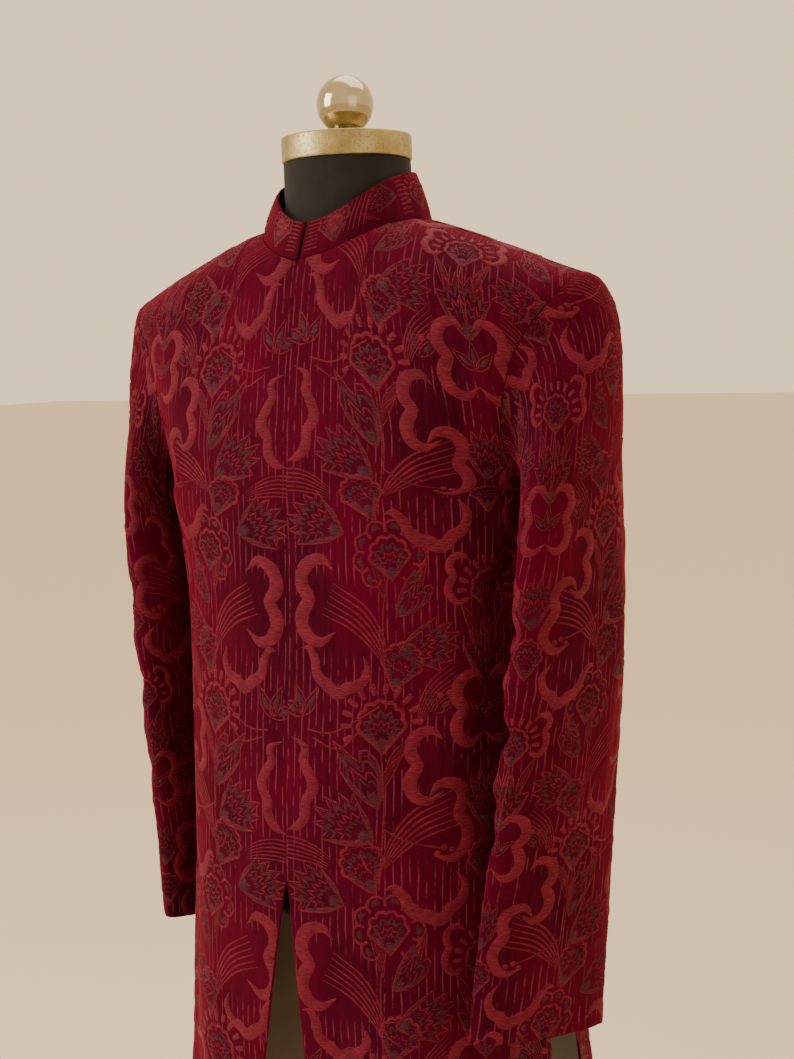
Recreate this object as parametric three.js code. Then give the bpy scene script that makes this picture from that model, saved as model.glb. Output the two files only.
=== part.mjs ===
// A knee-length velvet kurta with a stand collar, buttoned out of sight down its front,
// on a limbless dress form with a brass neck cap, a ball finial and a round-based stand.
// Millimetres, +Z up. The wearer faces -Y, and the wearer's left is +X.
import * as THREE from "three";

// ---------- Driving dimensions ----------
const CLOTH = 2; // thickness of the velvet
const LINING = 1; // thickness of the satin lining
const SEAM = 0.3; // gap between two pieces where they are sewn
const BACKING_GAP = 2.4; // between a panel and the piece that lies behind it
const ARMHOLE_GAP = 0.6; // where the eased sleeve head meets the armhole
const SHOULDER_SLOPE = Math.tan(THREE.MathUtils.degToRad(21));
const SHOULDER_EASE = 20; // how softly the shoulder turns from level to sloping
const NECKLINE = { side: 80, front: 86, back: 78 }; // half axes of the neck hole seen from above
const COLLAR_TOP = { side: 65, front: 71, back: 65, z: 1504, front_dip: 46 };
const COLLAR_GAP = 5; // between the collar's two ends at the centre front
const COLLAR_SEAM = 0.5; // between the neckline and the foot of the collar, which leans out over it
const SLIT_TOP = 871; // the fronts fall open below this height
const LEFT_FLARE = { front: 0.02, back: 0.07, full: 700, starts: 871 }; // the skirt is wider on the left
const SLIT_SPREAD = { left: 0.085, right: 0.165 }; // how far each front falls back, per mm of height
const UNDERLAP = { half_width: 28, cloth: 1.5, below_neck: 0.25, above_slit: 8 };
const LINING_EDGE = 14; // bare velvet round the back lining
const LINING_TOP = 880;
const LINING_SPANS = { up: 6, across: 10 };
const UNDERLAP_SPANS = { up: 14, across: 4 };

const CAP = { radius: 61.5, bottom: 1516, thickness: 23, bevel: 1.5 };
const FINIAL = { radius: 27, flat_radius: 12, seat_radius: 19, seat_height: 5 };
const POLE_RADIUS = 15;
const BASE = { radius: 190, thickness: 12, boss_radius: 34, boss_height: 22, boss_taper: 8, bevel: 4 };

// ---------- Tables ----------
function table(names, rows) {
  const columns = names.split(" ");
  return rows.map((row) => Object.fromEntries(columns.map((name, i) => [name, row[i]])));
}

// Level sections of a half front, hem to shoulder seam. z is the height at the centre, edge the
// distance of the panel's outer edge from the centre plane, reach how far round that edge lies
// (90 degrees is the side seam), depth how far the section stands out from the neck's axis,
// square its corner (2 is an ellipse), follow how much the row slopes with the shoulder.
const SECTION = "z edge reach depth square follow";
const FRONT = table(SECTION, [
  [420, 214, 76, 163, 2.2, 0],
  [580, 205, 80, 158, 2.2, 0],
  [735, 195, 84, 153, 2.2, 0],
  [871, 185, 90, 147, 2.2, 0],
  [1000, 181, 90, 136, 2.3, 0],
  [1090, 183, 90, 126, 2.3, 0],
  [1160, 189, 90, 122, 2.4, 0],
  [1205, 196, 90, 121, 2.5, 0],
  [1224, 191, 73, 120, 2.5, 0],
  [1262, 187, 61, 117, 2.6, 0.05],
  [1325, 194, 56, 108, 2.6, 0.3],
  [1385, 210, 57, 97, 2.6, 0.65],
  [1420, 224, 58, 88, 2.6, 0.88],
  [1443, 233, 60, 66, 2.6, 0.96],
  [1457, 237, 60, 35, 2.6, 1],
  [1462, 238, 60, 0, 2.6, 1],
]);

// The same rows of a half back.
const BACK = table(SECTION, [
  [420, 214, 76, 150, 2.2, 0],
  [580, 205, 80, 143, 2.2, 0],
  [735, 195, 84, 134, 2.2, 0],
  [871, 185, 90, 123, 2.2, 0],
  [1000, 181, 90, 113, 2.3, 0],
  [1090, 183, 90, 112, 2.3, 0],
  [1160, 189, 90, 118, 2.4, 0],
  [1205, 196, 90, 123, 2.5, 0],
  [1224, 194, 76, 125, 2.5, 0],
  [1262, 192, 67, 126, 2.6, 0.05],
  [1325, 200, 62, 123, 2.6, 0.3],
  [1385, 215, 60, 114, 2.6, 0.65],
  [1420, 226, 60, 104, 2.6, 0.88],
  [1443, 234, 60, 84, 2.6, 0.96],
  [1457, 237, 60, 50, 2.6, 1],
  [1462, 238, 60, 0, 2.6, 1],
]);
const ARMPIT_ROW = 7;
const RIDGE_ROW = FRONT.length - 1;

// Large soft folds: where each lies round the section (degrees from the centre), its half width
// (degrees), how far it stands out (mm), and the heights where it starts and is full.
const FOLD = "at width out starts full";
const FRONT_FOLDS = table(FOLD, [
  [30, 8, 6, 1060, 500],
  [50, 8, -7, 1120, 560],
  [64, 7, 5, 700, 440],
]);
const BACK_FOLDS = table(FOLD, [
  [24, 9, 6, 1080, 520],
  [44, 8, -6, 1100, 560],
  [63, 7, 7, 1040, 520],
]);

// Sections of the hanging sleeves, from the bicep to the cuff: the middle of the flattened tube,
// its half thickness and half width, how far its front edge is turned in towards the body
// (degrees), and how much higher its front edge hangs than its back edge, per mm.
const ARM = "z out forward thin wide twist lift";
const SLEEVE_LEFT = table(ARM, [
  [1140, 227, 8, 28, 84, 6, 0],
  [1060, 226, 16, 27, 81, 12, 0],
  [980, 222, 26, 26, 76, 17, 0],
  [900, 217, 37, 24, 73, 22, 0.02],
  [815, 212, 50, 22, 71, 27, 0.05],
  [727, 208, 62, 18, 70, 32, 0.1],
]);
const SLEEVE_RIGHT = table(ARM, [
  [1140, 221, 4, 27, 83, 0, 0],
  [1060, 223, 4, 26, 79, 2, 0],
  [980, 225, 2, 25, 75, 4, 0],
  [900, 226, 0, 25, 72, 5, 0.05],
  [825, 226, -2, 24, 70, 6, 0.08],
  [745, 226, -3, 22, 70, 8, 0.15],
]);
const SLEEVE_CREASES = table("z half_height in", [
  [1085, 16, 4],
  [1020, 14, 5],
  [955, 15, 4],
]);
const CREASE_TILT = 14; // how much higher the creases are at the back of the arm than at its front

// Sections of the dress form, bottom to neck.
const FORM = table("z side front back square", [
  [802, 150, 96, 92, 2.2],
  [812, 158, 104, 100, 2.2],
  [900, 166, 112, 104, 2.2],
  [1000, 158, 106, 94, 2.2],
  [1080, 152, 102, 92, 2.2],
  [1170, 166, 107, 102, 2.3],
  [1250, 176, 108, 110, 2.4],
  [1320, 180, 98, 110, 2.5],
  [1366, 176, 82, 98, 2.5],
  [1396, 152, 70, 82, 2.4],
  [1418, 118, 63, 72, 2.2],
  [1434, 88, 61, 65, 2],
  [1448, 68, 60, 61, 2],
  [1466, 61, 60, 60, 2],
  [1515.7, 60, 60, 60, 2],
]);

// ---------- Working parts ----------
const radians = THREE.MathUtils.degToRad;
const smooth = (x, from, to) => THREE.MathUtils.smoothstep(x, Math.min(from, to), Math.max(from, to));
const between = (count) => Array.from({ length: count + 1 }, (_, i) => i / count);

// A table's row at a fractional place, by a cubic that never swings past its rows. The table
// goes on over its last row as its own mirror image with the depth turned round, so that the
// front and the back of a shoulder meet level.
function rowAt(rows, place) {
  const last = rows.length - 1;
  const row = (i) => {
    if (i <= last) return rows[Math.max(i, 0)];
    return { ...rows[last - 1], depth: -rows[last - 1].depth };
  };
  const i = Math.min(Math.floor(place), last - 1);
  const t = place - i;
  const slope = (a, b) => (a * b <= 0 ? 0 : (2 * a * b) / (a + b));
  const found = {};
  for (const name of Object.keys(rows[0])) {
    const [a, b, c, d] = [row(i - 1)[name], row(i)[name], row(i + 1)[name], row(i + 2)[name]];
    const start = slope(b - a, c - b);
    const end = slope(c - b, d - c);
    const s = t * t * (3 - 2 * t);
    found[name] = b + (c - b) * s + start * t * (1 - t) ** 2 - end * t * t * (1 - t);
  }
  return found;
}

// The place in a table where z reaches a height.
function placeAt(rows, height) {
  return solve((place) => height - rowAt(rows, place).z, 0, rows.length - 1);
}

// The argument where a falling function passes zero, by halving.
function solve(f, low, high) {
  for (let step = 0; step < 40; step += 1) {
    const middle = (low + high) / 2;
    if (f(middle) > 0) low = middle;
    else high = middle;
  }
  return (low + high) / 2;
}

// A point of the unit superellipse, turned from its front by an angle in degrees.
function unit(angle, square) {
  const s = Math.sin(radians(angle));
  const c = Math.cos(radians(angle));
  const r = (Math.abs(s) ** square + Math.abs(c) ** square) ** (-1 / square);
  return { s: s * r, c: c * r };
}

function foldsAt(folds, angle, z) {
  let out = 0;
  for (const fold of folds) {
    const across = Math.exp(-(((Math.abs(angle) - fold.at) / fold.width) ** 2));
    out += fold.out * across * (1 - smooth(z, fold.full, fold.starts));
  }
  return out;
}

// A half of the coat's body: which table and folds it has, which way it faces (-1 is the front),
// its gap from the centre plane and how much wider its skirt hangs.
const FRONT_HALF = { rows: FRONT, folds: FRONT_FOLDS, face: -1, centre_gap: SEAM / 2, flare: 0 };
const BACK_HALF = { rows: BACK, folds: BACK_FOLDS, face: 1, centre_gap: 0, flare: 0 };
const LEFT_FRONT_HALF = { ...FRONT_HALF, flare: LEFT_FLARE.front };
const LEFT_BACK_HALF = { ...BACK_HALF, flare: LEFT_FLARE.back };

// A point on the outside of the coat's body, on the wearer's left (the right is its mirror image).
function bodyPoint(half, angle, place) {
  const row = rowAt(half.rows, place);
  const { s, c } = unit(angle, row.square);
  const swell = 1 + foldsAt(half.folds, angle, row.z) / row.edge;
  const wider = 1 + half.flare * (1 - smooth(row.z, LEFT_FLARE.full, LEFT_FLARE.starts));
  const x = half.centre_gap + (row.edge / unit(row.reach, row.square).s) * s * swell * wider;
  const y = half.face * (SEAM / 2 + row.depth * c * swell);
  const over = Math.abs(x) - NECKLINE.side;
  const drop = (over + Math.hypot(over, SHOULDER_EASE)) / 2;
  return new THREE.Vector3(x, y, row.z - row.follow * SHOULDER_SLOPE * drop);
}

// The outward direction of the coat's body at a point.
function bodyNormal(half, angle, place) {
  const step = 0.01;
  const low = Math.max(place - step, 0);
  const high = Math.min(place + step, RIDGE_ROW);
  const across = bodyPoint(half, angle + step, place).sub(bodyPoint(half, angle - step, place));
  const up = bodyPoint(half, angle, high).sub(bodyPoint(half, angle, low));
  if (place === RIDGE_ROW) up.set(0, -half.face, 0);
  return across.cross(up).multiplyScalar(-half.face).normalize();
}

// The place where the column at an angle runs into the neck hole, or the shoulder seam.
function columnTop(half, angleAt) {
  const frontOrBack = half.face < 0 ? NECKLINE.front : NECKLINE.back;
  return solve((place) => {
    const p = bodyPoint(half, angleAt(place), place);
    return (p.x / NECKLINE.side) ** 2 + (p.y / frontOrBack) ** 2 - 1;
  }, YOKE_PLACE, RIDGE_ROW);
}

// A closed wall of cloth: a grid of outer points (rows of columns) with the outward direction at
// each, made solid by the same grid moved in, and by strips round its open edges.
function wall(points, normals, thickness, closedAcross = false) {
  const rows = points.length;
  const columns = points[0].length;
  const vertices = [];
  for (const depth of [0, thickness]) {
    points.forEach((line, j) =>
      line.forEach((p, i) => vertices.push(p.clone().addScaledVector(normals[j][i], -depth))),
    );
  }
  const at = (j, i, inner) => inner * rows * columns + j * columns + (i % columns);
  const faces = [];
  const quad = (a, b, c, d) => faces.push([a, b, c], [a, c, d]);
  const spans = closedAcross ? columns : columns - 1;
  for (let j = 0; j < rows - 1; j += 1) {
    for (let i = 0; i < spans; i += 1) {
      quad(at(j, i, 0), at(j, i + 1, 0), at(j + 1, i + 1, 0), at(j + 1, i, 0));
      quad(at(j, i, 1), at(j + 1, i, 1), at(j + 1, i + 1, 1), at(j, i + 1, 1));
    }
  }
  for (let i = 0; i < spans; i += 1) {
    quad(at(0, i, 1), at(0, i + 1, 1), at(0, i + 1, 0), at(0, i, 0));
    quad(at(rows - 1, i, 0), at(rows - 1, i + 1, 0), at(rows - 1, i + 1, 1), at(rows - 1, i, 1));
  }
  for (let j = 0; j < rows - 1 && !closedAcross; j += 1) {
    quad(at(j, 0, 0), at(j + 1, 0, 0), at(j + 1, 0, 1), at(j, 0, 1));
    quad(at(j, spans, 1), at(j + 1, spans, 1), at(j + 1, spans, 0), at(j, spans, 0));
  }
  return facesGeometry(vertices, faces);
}

// Triangles as a geometry whose volume is positive.
function facesGeometry(vertices, faces) {
  let volume = 0;
  for (const [a, b, c] of faces) {
    volume += vertices[a].dot(vertices[b].clone().cross(vertices[c]));
  }
  const geometry = new THREE.BufferGeometry();
  geometry.setAttribute(
    "position",
    new THREE.Float32BufferAttribute(vertices.flatMap((p) => p.toArray()), 3),
  );
  geometry.setIndex(faces.flatMap(([a, b, c]) => (volume > 0 ? [a, b, c] : [a, c, b])));
  return geometry;
}

function mirrored(points) {
  return points.map((line) => line.map((p) => p.clone().setX(-p.x)));
}

// Outward directions of a grid, from its own neighbours.
function gridNormals(points, closedAcross) {
  const columns = points[0].length;
  return points.map((line, j) =>
    line.map((_, i) => {
      const left = closedAcross ? (i + columns - 1) % columns : Math.max(i - 1, 0);
      const right = closedAcross ? (i + 1) % columns : Math.min(i + 1, columns - 1);
      const low = Math.max(j - 1, 0);
      const high = Math.min(j + 1, points.length - 1);
      const across = line[right].clone().sub(line[left]);
      return across.cross(points[high][i].clone().sub(points[low][i])).normalize();
    }),
  );
}

// ---------- The coat's body ----------
const SKIRT_SPANS = 11;
const ARMHOLE_SPANS = 10;
const YOKE_SPANS = 3; // above this many armhole spans each column has its own even steps
const NECK_COLUMNS = 5;
const SHOULDER_COLUMNS = 8;
const ARMPIT_INDEX = SKIRT_SPANS;

// Places of the rows from the hem up to the armpit, even in height.
function skirtPlaces() {
  const low = FRONT[0].z;
  const high = FRONT[ARMPIT_ROW].z;
  const places = between(SKIRT_SPANS).map((t) => placeAt(FRONT, low + (high - low) * t));
  places[0] = 0;
  places[SKIRT_SPANS] = ARMPIT_ROW;
  return places;
}

// Places along a column between two others, an even distance apart on the cloth.
const FINE_STEPS = 400;
function evenPlaces(half, angleAt, low, high, spans) {
  const fine = between(FINE_STEPS).map((t) => low + (high - low) * t);
  const walked = [0];
  for (let i = 1; i < fine.length; i += 1) {
    const step = bodyPoint(half, angleAt(fine[i]), fine[i]);
    walked.push(walked[i - 1] + step.distanceTo(bodyPoint(half, angleAt(fine[i - 1]), fine[i - 1])));
  }
  const reached = (length) => fine[walked.findIndex((far) => far >= length - 1e-6)];
  return between(spans).map((t) => reached(walked.at(-1) * t));
}

// Places of the rows: the skirt's, then the yoke's, which are even along the front armhole.
const armholeAngle = (place) => rowAt(FRONT, place).reach;
const ARMHOLE_PLACES = evenPlaces(FRONT_HALF, armholeAngle, ARMPIT_ROW, RIDGE_ROW, ARMHOLE_SPANS);
const LEVEL_PLACES = [...skirtPlaces(), ...ARMHOLE_PLACES.slice(1, YOKE_SPANS + 1)];
const YOKE_PLACE = LEVEL_PLACES.at(-1);

// How far round from the centre front each front starts: 0 above the slit, more below it.
function slitAngle(place, spread) {
  const row = rowAt(FRONT, place);
  const back = Math.max(SLIT_TOP - row.z, 0) * spread;
  return THREE.MathUtils.radToDeg(Math.atan(back / row.edge));
}

// The grid of a half panel. start(place) is the angle of its inner edge, and its columns are
// shared out so that one of them meets the side of the neck.
function halfPanel(half, start) {
  const angleOf = (share) => (place) => {
    const from = start(place);
    return from + share * (rowAt(half.rows, place).reach - from);
  };
  const atRidge = (share) => bodyPoint(half, angleOf(share)(RIDGE_ROW), RIDGE_ROW).x;
  const neckShare = solve((share) => NECKLINE.side - atRidge(share), 0, 1);
  const shares = [
    ...between(NECK_COLUMNS).map((t) => t * neckShare),
    ...between(SHOULDER_COLUMNS).slice(1).map((t) => neckShare + t * (1 - neckShare)),
  ];
  const columns = shares.map((share, i) => {
    const top = i < NECK_COLUMNS ? columnTop(half, angleOf(share)) : RIDGE_ROW;
    const above = evenPlaces(half, angleOf(share), YOKE_PLACE, top, ARMHOLE_SPANS - YOKE_SPANS);
    return [...LEVEL_PLACES, ...above.slice(1)];
  });
  const rows = columns[0].map((_, j) =>
    shares.map((share, i) => [angleOf(share)(columns[i][j]), columns[i][j]]),
  );
  return {
    points: rows.map((row) => row.map(([angle, place]) => bodyPoint(half, angle, place))),
    normals: rows.map((row) => row.map(([angle, place]) => bodyNormal(half, angle, place))),
  };
}

const leftFront = halfPanel(LEFT_FRONT_HALF, (place) => slitAngle(place, SLIT_SPREAD.left));
const rightFront = halfPanel(FRONT_HALF, (place) => slitAngle(place, SLIT_SPREAD.right));
const leftBack = halfPanel(LEFT_BACK_HALF, () => 0);
const rightBack = halfPanel(BACK_HALF, () => 0);

// Rows right across the back: the right half's mirror image, then the left half without its
// first column, which is the centre.
function acrossRows(rightLines, leftLines) {
  return mirrored(rightLines).map((line, j) => [...line.reverse().slice(0, -1), ...leftLines[j]]);
}

// ---------- Pieces behind the coat's body ----------
function underlap() {
  const { half_width, cloth, below_neck, above_slit } = UNDERLAP;
  const offsets = between(UNDERLAP_SPANS.across).map((t) => (2 * t - 1) * half_width);
  const bottom = placeAt(FRONT, SLIT_TOP + above_slit);
  const points = [];
  const normals = [];
  for (const t of between(UNDERLAP_SPANS.up)) {
    const line = offsets.map((x) => {
      const angleAt = (place) => {
        const row = rowAt(FRONT, place);
        return THREE.MathUtils.radToDeg(Math.atan(x / row.edge));
      };
      const top = columnTop(FRONT_HALF, angleAt) - below_neck;
      const place = bottom + t * (top - bottom);
      const normal = bodyNormal(FRONT_HALF, angleAt(place), place);
      const point = bodyPoint(FRONT_HALF, angleAt(place), place);
      return [point.addScaledVector(normal, -(CLOTH + BACKING_GAP)), normal];
    });
    points.push(line.map(([point]) => point));
    normals.push(line.map(([, normal]) => normal));
  }
  return wall(points, normals, cloth);
}

// Half of the lining of the back skirt, as a grid inside the panel.
function halfLining(half) {
  const top = placeAt(BACK, LINING_TOP);
  const bottom = placeAt(BACK, BACK[0].z + LINING_EDGE);
  const grid = { points: [], normals: [] };
  for (const t of between(LINING_SPANS.up)) {
    const place = bottom + t * (top - bottom);
    const row = rowAt(BACK, place);
    const edge = row.reach - THREE.MathUtils.radToDeg(LINING_EDGE / row.edge);
    const angles = between(LINING_SPANS.across).map((share) => share * edge);
    const normals = angles.map((angle) => bodyNormal(half, angle, place));
    const line = angles.map((angle) => bodyPoint(half, angle, place));
    grid.points.push(line.map((p, i) => p.addScaledVector(normals[i], -(CLOTH + BACKING_GAP))));
    grid.normals.push(normals);
  }
  return grid;
}

function backLining() {
  const left = halfLining(LEFT_BACK_HALF);
  const right = halfLining(BACK_HALF);
  const points = acrossRows(right.points, left.points);
  return wall(points, acrossRows(right.normals, left.normals), LINING);
}

// ---------- Sleeves ----------
// The armhole's edge, from the shoulder seam down the front, under the arm and up the back, as
// points, outward directions of the body there, and directions out of the panel in its surface.
function armhole(front, backHalf) {
  const stop = front.points.length - 1;
  const edge = (grid, j) => {
    const line = grid.points[j];
    const here = line.at(-1);
    const normal = grid.normals[j].at(-1);
    const next = grid.points[Math.min(j + 1, stop)].at(-1);
    const before = grid.points[Math.max(j - 1, ARMPIT_INDEX)].at(-1);
    const away = next.clone().sub(before).cross(normal).normalize();
    if (away.dot(here.clone().sub(line.at(-2))) < 0) away.negate();
    return { here, normal, away };
  };
  const middle = (a, b, j) => ({
    here: a.here.clone().add(b.here).multiplyScalar(0.5),
    normal: a.normal.clone().add(b.normal).normalize(),
    away: j === ARMPIT_INDEX ? new THREE.Vector3(0, 0, 1) : a.away.clone().add(b.away).normalize(),
  });
  const ring = [middle(edge(front, stop), edge(backHalf, stop), stop)];
  for (let j = stop - 1; j > ARMPIT_INDEX; j -= 1) ring.push(edge(front, j));
  ring.push(middle(edge(front, ARMPIT_INDEX), edge(backHalf, ARMPIT_INDEX), ARMPIT_INDEX));
  for (let j = ARMPIT_INDEX + 1; j < stop; j += 1) ring.push(edge(backHalf, j));
  return ring;
}

// A point of the hanging sleeve, turn (degrees) round from its outer edge by way of its front.
function armPoint(rows, place, turn) {
  const row = rowAt(rows, place);
  const twist = radians(row.twist);
  const outward = new THREE.Vector3(Math.cos(twist), -Math.sin(twist), 0);
  const forward = new THREE.Vector3(-Math.sin(twist), -Math.cos(twist), row.lift);
  let crease = 0;
  for (const { z, half_height, in: depth } of SLEEVE_CREASES) {
    const above = row.z - z + CREASE_TILT * Math.sin(radians(turn));
    crease += depth * Math.exp(-((above / half_height) ** 2));
  }
  const frontness = Math.max(Math.sin(radians(turn)), 0) ** 2;
  return new THREE.Vector3(row.out, -row.forward, row.z)
    .addScaledVector(outward, row.thin * Math.cos(radians(turn)))
    .addScaledVector(forward, (row.wide - crease * frontness) * Math.sin(radians(turn)));
}

const CAP_SPANS = 6;
const ARM_SPANS = 9;
const CAP_FULLNESS = { start: 0.19, end: 0.64 };
const CAP_RISE = 0.4; // over this share of its height the armhole's edge turns to face outward

function sleeve(rows, front, backHalf) {
  const ring = armhole(front, backHalf);
  const count = ring.length;
  const turns = ring.map((_, i) => (360 * i) / count);
  const shoulder = ring[0].here.z;
  const armpit = ring[count / 2].here.z;
  const leaving = ring.map(({ here, normal, away }) => {
    const high = smooth(here.z, armpit, armpit + CAP_RISE * (shoulder - armpit));
    return normal.clone().lerp(away, high).normalize();
  });
  const curves = ring.map(({ here, away }, i) => {
    const from = here.clone().addScaledVector(away, ARMHOLE_GAP);
    const to = armPoint(rows, 0, turns[i]);
    const along = to.clone().sub(armPoint(rows, 0.1, turns[i])).normalize();
    const reach = to.distanceTo(from);
    const first = from.clone().addScaledVector(leaving[i], reach * CAP_FULLNESS.start);
    const second = to.clone().addScaledVector(along, reach * CAP_FULLNESS.end);
    return new THREE.CubicBezierCurve3(from, first, second, to);
  });
  const armPlaces = between(ARM_SPANS).slice(1).map((t) => t * (rows.length - 1));
  const points = [
    ...between(CAP_SPANS).map((t) => curves.map((curve) => curve.getPoint(t))),
    ...armPlaces.map((place) => turns.map((turn) => armPoint(rows, place, turn))),
  ];
  const normals = gridNormals(points, true);
  normals[0] = leaving.map((direction, i) => {
    const across = points[0][(i + 1) % count].clone().sub(points[0][(i + count - 1) % count]);
    return across.cross(direction).normalize();
  });
  return { points, normals };
}

// ---------- Collar ----------
const COLLAR_SPANS = 2;

// The neckline from the left front's edge round the back to the right front's edge.
function neckline() {
  const top = (grid) => grid.points.at(-1);
  const left = top(leftFront).slice(0, NECK_COLUMNS);
  const behind = top(leftBack).slice(0, NECK_COLUMNS).reverse();
  const side = new THREE.Vector3(NECKLINE.side, 0, top(leftBack)[NECK_COLUMNS].z);
  const mirror = (p) => p.clone().setX(-p.x);
  const start = left[0].clone().lerp(left[1], COLLAR_GAP / 2 / left[1].x);
  const leftSide = [start, ...left.slice(1), side, ...behind];
  return [...leftSide, ...leftSide.slice(0, -1).map(mirror).reverse()];
}

function collar() {
  const bottom = neckline();
  const lines = between(COLLAR_SPANS).map((t) =>
    bottom.map((p) => {
      const deep = p.y < 0 ? NECKLINE.front : NECKLINE.back;
      const angle = Math.atan2(p.x / NECKLINE.side, -p.y / deep);
      const topDeep = p.y < 0 ? COLLAR_TOP.front : COLLAR_TOP.back;
      const dip = COLLAR_TOP.front_dip * ((1 + Math.cos(angle)) / 2) ** 4;
      const top = new THREE.Vector3(
        COLLAR_TOP.side * Math.sin(angle),
        -topDeep * Math.cos(angle),
        COLLAR_TOP.z - dip,
      );
      return p.clone().setZ(p.z + COLLAR_SEAM).lerp(top, t);
    }),
  );
  const normals = gridNormals(lines, false).map((line) => line.map((n) => n.negate()));
  return wall(lines, normals, CLOTH);
}

// ---------- Dress form and stand ----------
const FORM_COLUMNS = 28;

function form() {
  const around = FORM_COLUMNS;
  const vertices = [];
  const faces = [];
  FORM.forEach((row) => {
    for (let i = 0; i < around; i += 1) {
      const { s, c } = unit((360 * i) / around, row.square);
      vertices.push(new THREE.Vector3(row.side * s, -c * (c > 0 ? row.front : row.back), row.z));
    }
  });
  const at = (j, i) => j * around + (i % around);
  for (let j = 0; j < FORM.length - 1; j += 1) {
    for (let i = 0; i < around; i += 1) {
      faces.push([at(j, i), at(j, i + 1), at(j + 1, i + 1)]);
      faces.push([at(j, i), at(j + 1, i + 1), at(j + 1, i)]);
    }
  }
  const bottom = vertices.push(new THREE.Vector3(0, 0, FORM[0].z)) - 1;
  const top = vertices.push(new THREE.Vector3(0, 0, FORM.at(-1).z)) - 1;
  for (let i = 0; i < around; i += 1) {
    faces.push([bottom, at(0, i + 1), at(0, i)]);
    faces.push([top, at(FORM.length - 1, i), at(FORM.length - 1, i + 1)]);
  }
  return facesGeometry(vertices, faces);
}

// A turned piece: a profile of [radius, height] pairs from the axis back to the axis.
function turned(profile, around = 40) {
  const geometry = new THREE.LatheGeometry(
    profile.map(([radius, height]) => new THREE.Vector2(radius, height)),
    around,
  );
  return geometry.rotateX(Math.PI / 2);
}

// A disc with bevelled rims.
function disc(radius, bottom, thickness, bevel) {
  const top = bottom + thickness;
  return turned([
    [0, bottom],
    [radius - bevel, bottom],
    [radius, bottom + bevel],
    [radius, top - bevel],
    [radius - bevel, top],
    [0, top],
  ]);
}

const BALL_SPANS = { up: 14, around: 28 };

function finialBall() {
  const bottom = CAP.bottom + CAP.thickness + SEAM + FINIAL.seat_height + SEAM;
  const lowest = Math.asin(FINIAL.flat_radius / FINIAL.radius);
  const middle = bottom + FINIAL.radius * Math.cos(lowest);
  const arc = between(BALL_SPANS.up).map((t) => {
    const angle = lowest + t * (Math.PI - lowest);
    return [t === 1 ? 0 : FINIAL.radius * Math.sin(angle), middle - FINIAL.radius * Math.cos(angle)];
  });
  return turned([[0, bottom], ...arc], BALL_SPANS.around);
}

function standBase() {
  const { radius, thickness, boss_radius, boss_height, boss_taper, bevel } = BASE;
  const top = thickness + boss_height;
  return turned([
    [0, 0],
    [radius - 1, 0],
    [radius, 1],
    [radius, thickness - bevel],
    [radius - bevel, thickness],
    [boss_radius, thickness],
    [boss_radius - boss_taper, top],
    [0, top],
  ]);
}

// ---------- The part ----------
const VELVET = { color: 0x6f0f1f, roughness: 0.85, metalness: 0 };
const SATIN = { color: 0x4a3826, roughness: 0.5, metalness: 0 };
const FORM_CLOTH = { color: 0x1a1b1b, roughness: 0.8, metalness: 0 };
const WORN_BRASS = { color: 0xa39a78, roughness: 0.45, metalness: 1 };
const POLISHED = { color: 0xd6d0c4, roughness: 0.15, metalness: 1 };
const BLACK_STEEL = { color: 0x1c1c1d, roughness: 0.5, metalness: 0.6 };

const part = new THREE.Group();

function add(name, geometry, finish) {
  const mesh = new THREE.Mesh(geometry, new THREE.MeshStandardMaterial(finish));
  mesh.name = name;
  part.add(mesh);
}

add("front_left", wall(leftFront.points, leftFront.normals, CLOTH), VELVET);
add("front_right", wall(mirrored(rightFront.points), mirrored(rightFront.normals), CLOTH), VELVET);
const backPoints = acrossRows(rightBack.points, leftBack.points);
const backNormals = acrossRows(rightBack.normals, leftBack.normals);
add("back", wall(backPoints, backNormals, CLOTH), VELVET);
add("front_underlap", underlap(), VELVET);
add("back_lining", backLining(), SATIN);
for (const [name, rows, front, backHalf, mirror] of [
  ["sleeve_left", SLEEVE_LEFT, leftFront, leftBack, false],
  ["sleeve_right", SLEEVE_RIGHT, rightFront, rightBack, true],
]) {
  const { points, normals } = sleeve(rows, front, backHalf);
  const geometry = mirror
    ? wall(mirrored(points), mirrored(normals), CLOTH, true)
    : wall(points, normals, CLOTH, true);
  add(name, geometry, VELVET);
}
add("collar", collar(), VELVET);
add("form_torso", form(), FORM_CLOTH);
add("neck_cap", disc(CAP.radius, CAP.bottom, CAP.thickness, CAP.bevel), WORN_BRASS);
add(
  "finial_seat",
  disc(FINIAL.seat_radius, CAP.bottom + CAP.thickness + SEAM, FINIAL.seat_height, 1),
  POLISHED,
);
add("finial_ball", finialBall(), POLISHED);
const poleBottom = BASE.thickness + BASE.boss_height + SEAM;
add("stand_pole", disc(POLE_RADIUS, poleBottom, FORM[0].z - SEAM - poleBottom, 1), BLACK_STEEL);
add("stand_base", standBase(), BLACK_STEEL);

export default part;
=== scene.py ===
"""The looks of an embroidered velvet kurta on a limbless dress form.

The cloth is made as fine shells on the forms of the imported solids, with the embroidery laid on
it as raised stitching. Tables and cloth sizes are in millimetres, Blender's objects in metres.
"""

import itertools
import math

import bpy
import numpy as np
from mathutils import Matrix, Vector

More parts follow.
